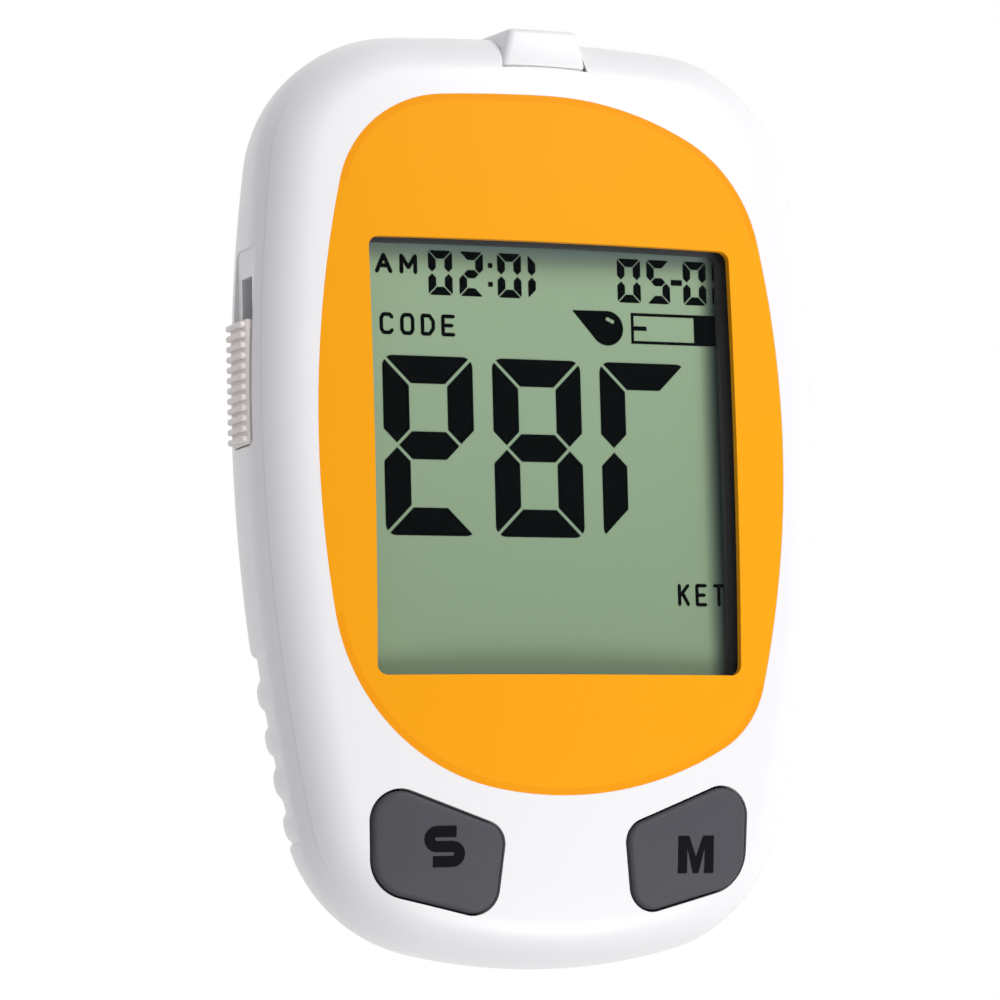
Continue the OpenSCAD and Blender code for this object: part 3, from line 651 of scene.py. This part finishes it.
def grip_depth(y, z):
    """Depth of the finger grip: a shallow recess with four round ribs standing in it."""
    (low_y, high_y), (low_z, high_z) = GRIP_YS, GRIP_ZS
    inside = soft_step(y, low_y - GRIP_FADE, low_y) * (1 - soft_step(y, high_y, high_y + GRIP_FADE))
    inside *= soft_step(z, low_z - GRIP_SPREAD, low_z + GRIP_FADE)
    inside *= 1 - soft_step(z, high_z - GRIP_FADE, high_z + GRIP_SPREAD)
    rib = max(1 - ((y - rib_y) / RIB_HALF) ** 2 for rib_y in RIB_YS)
    return GRIP_DEEP * inside * (1 - math.sqrt(max(rib, 0)))


def side_ring(edge, inset, z_of):
    """Ring of the back shell's side, with the finger grips pressed into it."""
    ring = []
    for p, n in edge:
        z = z_of(p - n * inset)
        spot = p - n * (inset + grip_depth(p.y, z))
        ring.append((spot.x, spot.y, z))
    return ring


OUTER_ARC = 14
INNER_ARC = 6
SIDE_LEVELS = (0.15, 0.35, 0.5, 0.65, 0.8, 0.9, 1)   # shares of the way up the side


def back_shell(finish):
    edge = body_outline(BACK_STEPS)
    n = len(edge)
    foot = flat_ring(edge, ROUND_IN, 0)
    rings = [[pole(z=0)] * n, *[shrunk(foot, k) for k in (0.4, 0.8)], foot]
    for j in range(1, OUTER_ARC + 1):
        turn = math.pi / 2 * j / OUTER_ARC
        z = ROUND_UP * (1 - math.cos(turn))
        rings.append(side_ring(edge, ROUND_IN * (1 - math.sin(turn)), lambda p, z=z: z))
    for t in SIDE_LEVELS:
        rings.append(side_ring(edge, 0, lambda p, t=t:
                               ROUND_UP + (face_z(p.x, p.y) - SHOULDER - ROUND_UP) * t))
    rings += shoulder_rings(edge, 0, SEAM_TURN, steps=5, extra_drop=SEAM)[1:]
    rings += [domed_ring(edge, WALL, SEAM_DROP + SEAM), flat_ring(edge, WALL, ROUND_UP)]
    for j in range(1, INNER_ARC + 1):
        turn = math.pi / 2 * (1 - j / INNER_ARC)
        rings.append(flat_ring(edge, ROUND_IN - (ROUND_IN - WALL) * math.sin(turn),
                               ROUND_UP - (ROUND_UP - FLOOR) * math.cos(turn)))
    rings += [shrunk(rings[-1], 0.5), [pole(z=FLOOR)] * n]
    shell = ringed("back_shell", rings)
    cut(shell, screw_wells(), way="UNION")
    cut_back(shell)
    return finish_piece(shell, "housing", finish, "back_cover", angle=BACK_SMOOTH)


SLIDER_TRAVEL = 7.4
NECK_W = 7                       # of the slider, in its slot
TRACK_DEPTH = 0.98
TRACK_GAP = (0.2, 0.3)           # round the slider, along the track and up
SLOT_HALF = 1.5                  # half the height of the slider's slot
SCREW_SPOTS = [(side * x, y) for side in (-1, 1)
               for x, y in ((HALF_W - 10.8, TOP_Y - 9.4), (HALF_W - 6.76, TOP_Y - 57.5))]
SCREW_SPOTS.append((0, LOW_Y + 5.8))
SCREW_HOLE_R = 2.3
SCREW_SEAT = 5.5                 # height of the land under a screw's head
WELL_R = 3.2
WELL_TOP = 7.5
WELL_SKIN = 0.4                  # how far the wells stay inside the outer skin
LABEL_GAP = 0.1
LABEL_R = 1.6
TAB_REACH = 1.7                  # how far the door's hinge tabs reach past its edge
BAY_LOW = Vector((DOOR_LOW.x - 0.25, DOOR_LOW.y - 0.3, 0))
BAY_HIGH = Vector((-BAY_LOW.x, DOOR_HIGH.y - TAB_REACH + 0.3, CELLS_HIGH.z + 0.1))
BAY_WALL = 1
BAY_ROOF = 0.6
TAB_IN = 1                       # from the bay's side to the middle of a hinge tab
THUMB_R = 3
THUMB_HALF_W = 5


def screw_wells():
    """Posts round the housing screws, kept just inside the outer skin."""
    edge = body_outline(FRONT_STEPS)
    turns = [math.pi / 2 * j / 10 for j in range(11)]
    rings = [flat_ring(edge, WELL_SKIN + ROUND_IN * (1 - math.sin(turn)),
                       WELL_SKIN + ROUND_UP * (1 - math.cos(turn))) for turn in turns]
    ends = [[pole(z=z)] * len(edge) for z in (WELL_SKIN, ROUND_UP + WELL_SKIN)]
    wells, *others = [rod("well", (x, y, 0), WELL_R, -1, WELL_TOP) for x, y in SCREW_SPOTS]
    cut(wells, *others, way="UNION")
    return cut(wells, ringed("well_bounds", [ends[0], *rings, ends[1]]), way="INTERSECT")


def cut_back(shell):
    """Openings of the back shell: battery bay, thumb notch, screw holes, slider track, strip port and label."""
    tools = [block("bay_cut", (BAY_LOW.x, BAY_LOW.y, -1), (BAY_HIGH.x, BAY_HIGH.y + 0.4, FLOOR + 1))]
    tools.append(rod("thumb_cut", (0, BAY_LOW.y - 0.3, -2), THUMB_R, -THUMB_HALF_W, THUMB_HALF_W, "X"))
    tools += [rod("screw_cut", (x, y, 0), SCREW_HOLE_R, -1, SCREW_SEAT) for x, y in SCREW_SPOTS]
    along, up = TRACK_GAP
    tools.append(block("track_cut", (-HALF_W - PAST, SLIDER_LOW.y - along, SLIDER_LOW.z - up),
                       (-HALF_W + TRACK_DEPTH, SLIDER_HIGH.y + SLIDER_TRAVEL + along, SLIDER_HIGH.z + up),
                       0.8, 4, along=0))
    middle, reach = (SLIDER_LOW + SLIDER_HIGH) / 2, NECK_W / 2 + along
    tools.append(block("slot_cut", (-HALF_W - PAST, middle.y - reach, middle.z - SLOT_HALF),
                       (-HALF_W + PAST, middle.y + reach + SLIDER_TRAVEL, middle.z + SLOT_HALF)))
    tools.append(nose_room())
    label = rounded_rect(2 * (LABEL_HIGH.x + LABEL_GAP), LABEL_HIGH.y - LABEL_LOW.y + 2 * LABEL_GAP, LABEL_R,
                         (0, (LABEL_LOW.y + LABEL_HIGH.y) / 2))
    tools.append(prism("label_cut", label, -1, LABEL_HIGH.z + 0.03))
    cut(shell, *tools)


def battery_bay(finish):
    """Walls, roof and divider of the battery compartment, behind the door's opening."""
    low, high = BAY_LOW, BAY_HIGH
    bay = block("battery_bay", (low.x - BAY_WALL, low.y - BAY_WALL, FLOOR - 0.2),
                (high.x + BAY_WALL, high.y + BAY_WALL, high.z + BAY_ROOF), 0.4, 2)
    cut(bay, block("bay_room", (low.x, low.y, -1), (high.x, high.y, high.z), 0.6, 3, along=2))
    for x in (-1, 1):
        middle = x * (high.x - TAB_IN)
        cut(bay, block("tab_room", (middle - 1.2, high.y - 0.5, FLOOR - 1),
                       (middle + 1.2, high.y + 2, FLOOR + 3)))
    divider = block("divider", (-0.2, low.y, high.z - 2.2), (0.2, high.y, high.z + 0.1), 0.1, 2)
    cut(bay, divider, way="UNION")
    return finish_piece(bay, "housing", finish)


DOOR_T = 1.5
GRIP_LINES = 5
LINE_PITCH = 1.6
LINE_R = 0.75
LINE_HALF_W = 6.5                # half the length of the lowest groove
LINE_STEP = 0.4                  # how much shorter each next one is at each end
TAB_HALF_W = 0.7


def battery_door(finish):
    low, high = DOOR_LOW, Vector((DOOR_HIGH.x, DOOR_HIGH.y - TAB_REACH, DOOR_T))
    door = block("battery_lid", low, high, 0.3, 3)
    for i in range(GRIP_LINES):
        half_w = LINE_HALF_W - LINE_STEP * i
        cut(door, rod("groove", (0, low.y + 4.6 + LINE_PITCH * i, -0.35), LINE_R, -half_w, half_w, "X", 32))
    for side in (-1, 1):
        x = side * (BAY_HIGH.x - TAB_IN)
        left, right = x - TAB_HALF_W, x + TAB_HALF_W
        tab = block("tab", (left, high.y - 0.9, FLOOR + 0.25), (right, DOOR_HIGH.y, FLOOR + 1), 0.2, 2)
        root = block("root", (left, high.y - 1.1, DOOR_T - 0.3), (right, high.y - 0.5, FLOOR + 0.9), 0.1, 2)
        cut(door, tab, root, way="UNION")
    return finish_piece(door, "door", finish, "battery_door")


EDGE_BAND = 0.7                  # width of the deeper line along the panel's edge
EDGE_PROFILE = ((-0.07, 0.06), (-0.04, 0.03), (0.2, PRINT_DROP), (EDGE_BAND, PRINT_DROP))   # inset, drop


def face_panel(finish, edge_finish):
    edge = panel_outline(FRONT_STEPS)
    n = len(edge)
    under = domed_ring(edge, 0, PANEL_T)
    rings = [[pole(PANEL_T)] * n] + [shrunk(under, k, PANEL_T) for k in (0.35, 0.7)] + [under]
    rings += [domed_ring(edge, inset, drop) for inset, drop in EDGE_PROFILE]
    inner = rings[-1]
    rings += [shrunk(inner, k, PRINT_DROP) for k in (0.9, 0.75, 0.6, 0.45, 0.3, 0.15)]
    rings.append([pole(PRINT_DROP)] * n)
    panel = ringed("printed_panel", rings)
    panel.data.materials.append(finish)
    panel.data.materials.append(edge_finish)
    border = [p for p, _ in edge]
    for face in panel.data.polygons:
        spot = Vector(face.center[:2]) / MM
        face.material_index = int(min((spot - p).length for p in border) < EDGE_BAND * 1.2)
    cut(panel, prism("window_cut", rounded_rect(WINDOW_W, WINDOW_H, WINDOW_R, (0, WINDOW_Y), 10), *FACE_CUT))
    return finish_piece(panel, "housing", None, "face_panel")


LENS_BEVEL = 0.1


def lens(finish):
    """The clear window: its domed underside from the edge to the middle, then its top back to the edge."""
    w, h = 2 * LENS_HIGH.x, LENS_HIGH.y - LENS_LOW.y
    edge = rounded_rect(w, h, WINDOW_R + 0.8, (0, WINDOW_Y), 6, 14)
    middle = [(0, WINDOW_Y, 0)] * len(edge)
    rings = []
    for inset, drop, ts in ((0, LENS_DROP + LENS_T, (1, 0.7, 0.4, 0.02, 0)),
                            (LENS_BEVEL, LENS_DROP, (0, 0.02, 0.2, 0.4, 0.6, 0.8, 1))):
        outer = domed_ring(edge, inset, drop)
        rings += [between(outer, middle, t, drop) for t in ts]
    return finish_piece(ringed("window_lens", rings), "housing", finish, "display_window")


def key_top(x, y, edge_distance):
    """Height of a key's cap: it stands proud of the face and is a little crowned."""
    return face_z(x, y) + KEY_PROUD - KEY_BULGE + KEY_BULGE * soft_step(edge_distance, 0, KEY_SLOPE)


def key_cap(name, side, finish, body, node):
    edge = key_outline(KEY_STEPS, side)
    middle = (side * KEY_X, KEY_Y)
    n = len(edge)
    low, high = KEY_FLANGE_DROPS
    rings = [[(*middle, face_z(*middle) - low)] * n]
    rings += [domed_ring(edge, -out, drop)
              for out, drop in ((0, low), (KEY_FLANGE, low), (KEY_FLANGE, high), (0, high))]
    for j in range(7):
        turn = math.pi / 2 * j / 6
        inset = KEY_EDGE * (1 - math.cos(turn))
        points = [p - normal * inset for p, normal in edge]
        rings.append([(p.x, p.y, key_top(p.x, p.y, 0) - KEY_EDGE * (1 - math.sin(turn))) for p in points])
    rim = rings[-1]
    for t in (0.08, 0.2, 0.35, 0.5, 0.7, 0.9, 1):
        ring = between(rim, [(*middle, 0)] * n, t)
        rings.append([(x, y, key_top(x, y, KEY_REACH * t)) for x, y, _ in ring])
    return finish_piece(ringed(name, rings), body, finish, node)


def plate(name, edge, z_of, thick):
    """A thin raised sheet on any outline, laid on a surface."""
    piece = added(name, bpy.ops.mesh.primitive_circle_add, vertices=len(edge), radius=MM)
    for vertex, (x, y) in zip(piece.data.vertices, edge):
        vertex.co = Vector((x, y, 0)) * MM
    edit(piece)
    bpy.ops.mesh.select_all(action="SELECT")
    bpy.ops.mesh.edge_face_add()
    bpy.ops.mesh.extrude_region_move(TRANSFORM_OT_translate={"value": (0, 0, thick * MM)})
    leave_edit()
    for vertex in piece.data.vertices:
        vertex.co.z += z_of(vertex.co.x / MM, vertex.co.y / MM) * MM
    tidy(piece)
    return piece


# Strokes of the display's capitals, on a square from 0 to 1
CAPITALS = {
    "A": (((0, 0), (0.5, 1), (1, 0)), ((0.22, 0.36), (0.78, 0.36))),
    "C": (((1, 0.85), (0.8, 1), (0.2, 1), (0, 0.8), (0, 0.2), (0.2, 0), (0.8, 0), (1, 0.15)),),
    "D": (((0, 0), (0, 1), (0.65, 1), (1, 0.7), (1, 0.3), (0.65, 0), (0, 0)),),
    "E": (((1, 1), (0, 1), (0, 0), (1, 0)), ((0, 0.5), (0.85, 0.5))),
    "K": (((0, 0), (0, 1)), ((1, 1), (0.05, 0.45)), ((0.35, 0.6), (1, 0))),
    "M": (((0, 0), (0, 1), (0.5, 0.3), (1, 1), (1, 0)),),
    "O": (((0.2, 0), (0, 0.2), (0, 0.8), (0.2, 1), (0.8, 1), (1, 0.8), (1, 0.2), (0.8, 0), (0.2, 0)),),
    "T": (((0, 1), (1, 1)), ((0.5, 1), (0.5, 0))),
}


# Each word's lower left and upper right corner, from the window's middle, and its stroke
LCD_WORDS = (("AM", (-18.9, 19.3), (-14.15, 21.45), 0.42),
             ("CODE", (-18.5, 12.9), (-10.0, 15.2), 0.38),
             ("KET", (14.8, -15.15), (20.3, -12.75), 0.36))
PRINT_T = 0.04
PRINT_LIFT = 0.01


def bar(start, end, half_w):
    """Outline of a straight stroke with pointed ends."""
    way = (end - start).normalized()
    out = Vector((-way.y, way.x)) * half_w
    tip = way * half_w
    return [start - tip, start + out, end + out, end + tip, end - out, start - out]


def lcd_word(text, low, high, stroke, finish):
    """A word in thin bars on the display, between two corners given from the window's middle."""
    middle = Vector((0, WINDOW_Y))
    low, high = middle + Vector(low), middle + Vector(high)
    gap = stroke * 1.9
    letter_w = (high.x - low.x - gap * (len(text) - 1)) / len(text)
    half = Vector((stroke, stroke)) / 2
    pieces = []
    for i, letter in enumerate(text):
        corner = Vector((low.x + i * (letter_w + gap), low.y)) + half
        size = Vector((letter_w, high.y - low.y)) - 2 * half
        for chain in CAPITALS[letter]:
            points = [corner + Vector(p) * size for p in chain]
            for start, end in zip(points, points[1:]):
                shape = bar(start, end, stroke / 2)
                pieces.append(plate("bar", shape, lambda x, y: LCD_TOP + PRINT_LIFT, PRINT_T))
    word = cut(pieces[0], *pieces[1:], way="UNION")
    word.name = "word_" + text.lower()
    finish_piece(word, "housing", finish)


def lcd_words(finish):
    for text, low, high, stroke in LCD_WORDS:
        lcd_word(text, low, high, stroke, finish)


def letter_s(w, h, stroke):
    """Outline of an S: a stroke along two half circles and the bars between them."""
    r = (h - stroke) / 4
    reach = (w - stroke) / 2 - r
    path = [(Vector((reach + 0.5 * r, 2 * r)), Vector((0, 1)))]
    for side in (1, -1):
        for j in range(9):
            turn = math.pi / 2 + side * math.pi * j / 8
            way = heading(turn)
            path.append((Vector((-side * reach, side * r)) + way * r, way * side))
    path.append((Vector((-reach - 0.5 * r, -2 * r)), Vector((0, 1))))
    return [p + n * stroke / 2 for p, n in path] + [p - n * stroke / 2 for p, n in path[::-1]]


def letter_m(w, h, stroke):
    """Outline of an M with a broad V."""
    x, y = w / 2, h / 2
    half = [(0, -0.12 * y), (x - 1.2 * stroke, y), (x, y), (x, -y), (x - stroke, -y), (x - stroke, 0.35 * y),
            (0.3 * stroke, -y)]
    return [Vector(p) for p in half] + [Vector((-px, py)) for px, py in half[:0:-1]]


# Each letter's outline, its width, height and stroke, its key's side, its place from the key's middle, its body
KEY_LETTERS = (("letter_s", letter_s, (4.4, 4.2, 1.15), -1, (0.5, 0.5), "set_key"),
               ("letter_m", letter_m, (4.3, 3.9, 1.1), 1, (0.8, -0.7), "memory_key"))


def key_letters(finish):
    for name, letter_outline, size, side, (right, up), body in KEY_LETTERS:
        middle = Vector((side * KEY_X + right, KEY_Y + up))
        spots = [middle + p for p in letter_outline(*size)]
        letter = plate(name, spots, lambda x, y: key_top(x, y, KEY_SLOPE) - PRINT_LIFT, PRINT_T)
        finish_piece(letter, body, finish)


SLIDER_PROUD = 0.7               # height of the ridges
SLIDER_RIDGES = 12
NECK_IN = 1.1                    # how far the neck stays inside the slider's height, at each side


def slider(finish):
    low, high = SLIDER_LOW, SLIDER_HIGH
    base_x = low.x + SLIDER_PROUD
    knob = block("slider_knob", (base_x - 0.15, low.y, low.z), (base_x + 0.8, high.y, high.z), 0.3, 3)
    pitch = (high.y - low.y) / SLIDER_RIDGES
    half = pitch * 0.3
    for i in range(SLIDER_RIDGES):
        y = low.y + pitch * (i + 0.5)
        ridge = block("ridge", (low.x, y - half, low.z + 0.15),
                      (base_x + 0.2, y + half, high.z - 0.15), 0.24, 3)
        cut(knob, ridge, way="UNION")
    middle_y = (low.y + high.y) / 2
    neck = block("neck", (base_x + 0.7, middle_y - NECK_W / 2, low.z + NECK_IN),
                 (high.x, middle_y + NECK_W / 2, high.z - NECK_IN), 0.2, 2)
    cut(knob, neck, way="UNION")
    return finish_piece(knob, "ejector", finish, "ejector_slider")


NOSE_EDGE = 0.7
NOSE_ANGLE = math.radians(40)    # edges sharper than this are rounded
STRIP_Z = CELLS_HIGH.z - 2.2
STRIP_HALF = (3.4, 0.7)          # half the slot's width and height
FUNNEL_HALF = (4.3, 1.4)
FUNNEL_DEPTH = 0.8


def port(finish):
    """Nose of the strip port, with a funnelled slot for the strip."""
    nose = nose_form("port_nose", 0, NOSE_LOW.y, NOSE_HIGH.y)
    change(nose, "BEVEL", width=NOSE_EDGE * MM, segments=5, limit_method="ANGLE", angle_limit=NOSE_ANGLE)
    flange = block("flange", (NOSE_LOW.x, NOSE_LOW.y + 0.02, STRIP_Z - FUNNEL_HALF[1]),
                   (NOSE_HIGH.x, NOSE_LOW.y + 0.6, CROWN - 6.5), 0.15, 2)
    cut(nose, flange, way="UNION")
    (slot_w, slot_h), (mouth_w, mouth_h) = STRIP_HALF, FUNNEL_HALF
    cut(nose, block("slot", (-slot_w, NOSE_LOW.y - 1, STRIP_Z - slot_h),
                    (slot_w, NOSE_HIGH.y + 1, STRIP_Z + slot_h)))
    cut(nose, block("funnel", (-mouth_w, NOSE_HIGH.y - FUNNEL_DEPTH, STRIP_Z - mouth_h),
                    (mouth_w, NOSE_HIGH.y + 2, STRIP_Z + mouth_h), 0.5, 3))
    return finish_piece(nose, "housing", finish, "port_guide")


NODE_FINISHES = {
    "display_gasket": "rubber", "lcd_glass": "lcd", "lcd_segments": "segment", "lcd_frame": "frame",
    "zebra_strips": "zebra", "key_domes": "steel", "circuit_board": "board", "processor_chip": "chip",
    "reader_chip": "chip", "crystal_can": "steel", "buzzer": "chip", "board_components": "tan",
    "strip_connector": "ivory", "strip_contacts": "gold", "ejector_arm": "arm", "ejector_spring": "steel",
    "battery_left": "cell", "battery_right": "cell", "positive_contacts": "steel",
    "negative_springs": "steel", "rating_label": "label", "board_screws": "steel", "housing_screws": "steel",
}


def dress_nodes(finishes):
    for node, finish in NODE_FINISHES.items():
        for slot in frame["nodes"][node].material_slots:
            slot.material = finishes[finish]


# ---- Stage ------------------------------------------------------------------

def white_to_camera(surface):
    """Factor that is 1 where the camera sees a surface directly, mirrored in gloss or through glass."""
    tree = surface.node_tree
    path = tree.nodes.new("ShaderNodeLightPath")
    seen = path.outputs["Is Camera Ray"]
    for ray in ("Is Glossy Ray", "Is Transmission Ray"):
        either = tree.nodes.new("ShaderNodeMath")
        either.operation = "MAXIMUM"
        tree.links.new(seen, either.inputs[0])
        tree.links.new(path.outputs[ray], either.inputs[1])
        seen = either.outputs[0]
    return seen


def shader_mix(tree, factor, a, b):
    """Output that goes from one shader to another."""
    mixed = tree.nodes.new("ShaderNodeMixShader")
    for socket, output in zip(mixed.inputs, (factor, a, b)):
        tree.links.new(output, socket)
    return mixed.outputs[0]


STAGE_SIZE = 4                   # the stage's places are in metres
STAGE_Z = -0.0001


def make_floor():
    """A white floor that is clear from below."""
    floor = added("floor", bpy.ops.mesh.primitive_plane_add, size=STAGE_SIZE, location=(0, 0, STAGE_Z))
    material = bpy.data.materials.new("floor_white")
    material.use_nodes = True
    tree = material.node_tree
    shader = tree.nodes["Principled BSDF"]
    shader.inputs["Base Color"].default_value = (0.86, 0.86, 0.86, 1)
    shader.inputs["Roughness"].default_value = 0.9
    glow = tree.nodes.new("ShaderNodeEmission").outputs[0]
    above = shader_mix(tree, white_to_camera(material), shader.outputs[0], glow)
    from_below = tree.nodes.new("ShaderNodeNewGeometry").outputs["Backfacing"]
    clear = tree.nodes.new("ShaderNodeBsdfTransparent").outputs[0]
    tree.links.new(shader_mix(tree, from_below, above, clear), tree.nodes["Material Output"].inputs["Surface"])
    floor.data.materials.append(material)


WORLD_COLOUR = (0.95, 0.93, 1, 1)
WORLD_LEVEL = 0.38


def make_world():
    """Dim light from all sides, and white where the camera looks past the meter."""
    world = bpy.data.worlds.new("studio")
    bpy.context.scene.world = world
    world.use_nodes = True
    tree = world.node_tree
    plain = tree.nodes["Background"]
    plain.inputs["Color"].default_value = WORLD_COLOUR
    plain.inputs["Strength"].default_value = WORLD_LEVEL
    white = tree.nodes.new("ShaderNodeBackground").outputs[0]
    tree.links.new(shader_mix(tree, white_to_camera(world), plain.outputs[0], white),
                   tree.nodes["World Output"].inputs["Surface"])


LAMPS = {"key_lamp": ((0.4, 0.5, 0.75), 4.5), "low_lamp": ((0.35, -0.55, 0.75), 4.2)}   # place, watts
LAMP_SIZE = 0.5


def make_lamp(name, place, watts):
    """A round lamp that shines at the meter."""
    lamp = bpy.data.lights.new(name, "AREA")
    lamp.shape = "DISK"
    lamp.size = LAMP_SIZE
    lamp.energy = watts
    holder = bpy.data.objects.new(name, lamp)
    bpy.context.collection.objects.link(holder)
    holder.location = place
    holder.rotation_euler = (-Vector(place)).to_track_quat("-Z", "Y").to_euler()


CAMERA_SIDE = math.radians(24)   # the camera stands to the left of the meter
CAMERA_LOW = math.radians(7)     # and towards its lower end
CAMERA_ROLL = math.radians(1.6)
CAMERA_REACH = 450
CAMERA_TARGET = Vector((0, 4.92, CROWN))
CAMERA_LENS = 155.52
CAMERA_SENSOR = 36
CAMERA_NEAR = 0.01
CAMERA_SHIFT = (-0.064, -0.057)


def make_camera():
    back = Vector((-math.sin(CAMERA_SIDE) * math.cos(CAMERA_LOW), -math.sin(CAMERA_LOW),
                   math.cos(CAMERA_SIDE) * math.cos(CAMERA_LOW)))
    right = Vector((0, 1, 0)).cross(back).normalized()
    up = back.cross(right)
    turn = Matrix((right, up, back)).transposed() @ Matrix.Rotation(-CAMERA_ROLL, 3, "Z")
    camera = bpy.data.objects.new("camera", bpy.data.cameras.new("camera"))
    bpy.context.collection.objects.link(camera)
    camera.matrix_world = Matrix.Translation((CAMERA_TARGET + back * CAMERA_REACH) * MM) @ turn.to_4x4()
    camera.data.lens = CAMERA_LENS
    camera.data.sensor_width = CAMERA_SENSOR
    camera.data.shift_x, camera.data.shift_y = CAMERA_SHIFT
    camera.data.clip_start = CAMERA_NEAR
    bpy.context.scene.camera = camera


# ---- Scene ------------------------------------------------------------------

finishes = make_finishes()
front_shell(finishes["white"])
back_shell(finishes["white"])
battery_bay(finishes["bay"])
battery_door(finishes["door"])
face_panel(finishes["panel"], finishes["panel_edge"])
lens(finishes["lens"])
key_cap("set_cap", -1, finishes["key"], "set_key", "set_button")
key_cap("memory_cap", 1, finishes["key"], "memory_key", "memory_button")
key_letters(finishes["print"])
lcd_words(finishes["segment"])
slider(finishes["slider"])
port(finishes["white"])
dress_nodes(finishes)

make_floor()
make_world()
for lamp_name, (lamp_place, lamp_watts) in LAMPS.items():
    make_lamp(lamp_name, lamp_place, lamp_watts)
make_camera()
bpy.context.scene.view_settings.view_transform = "Standard"
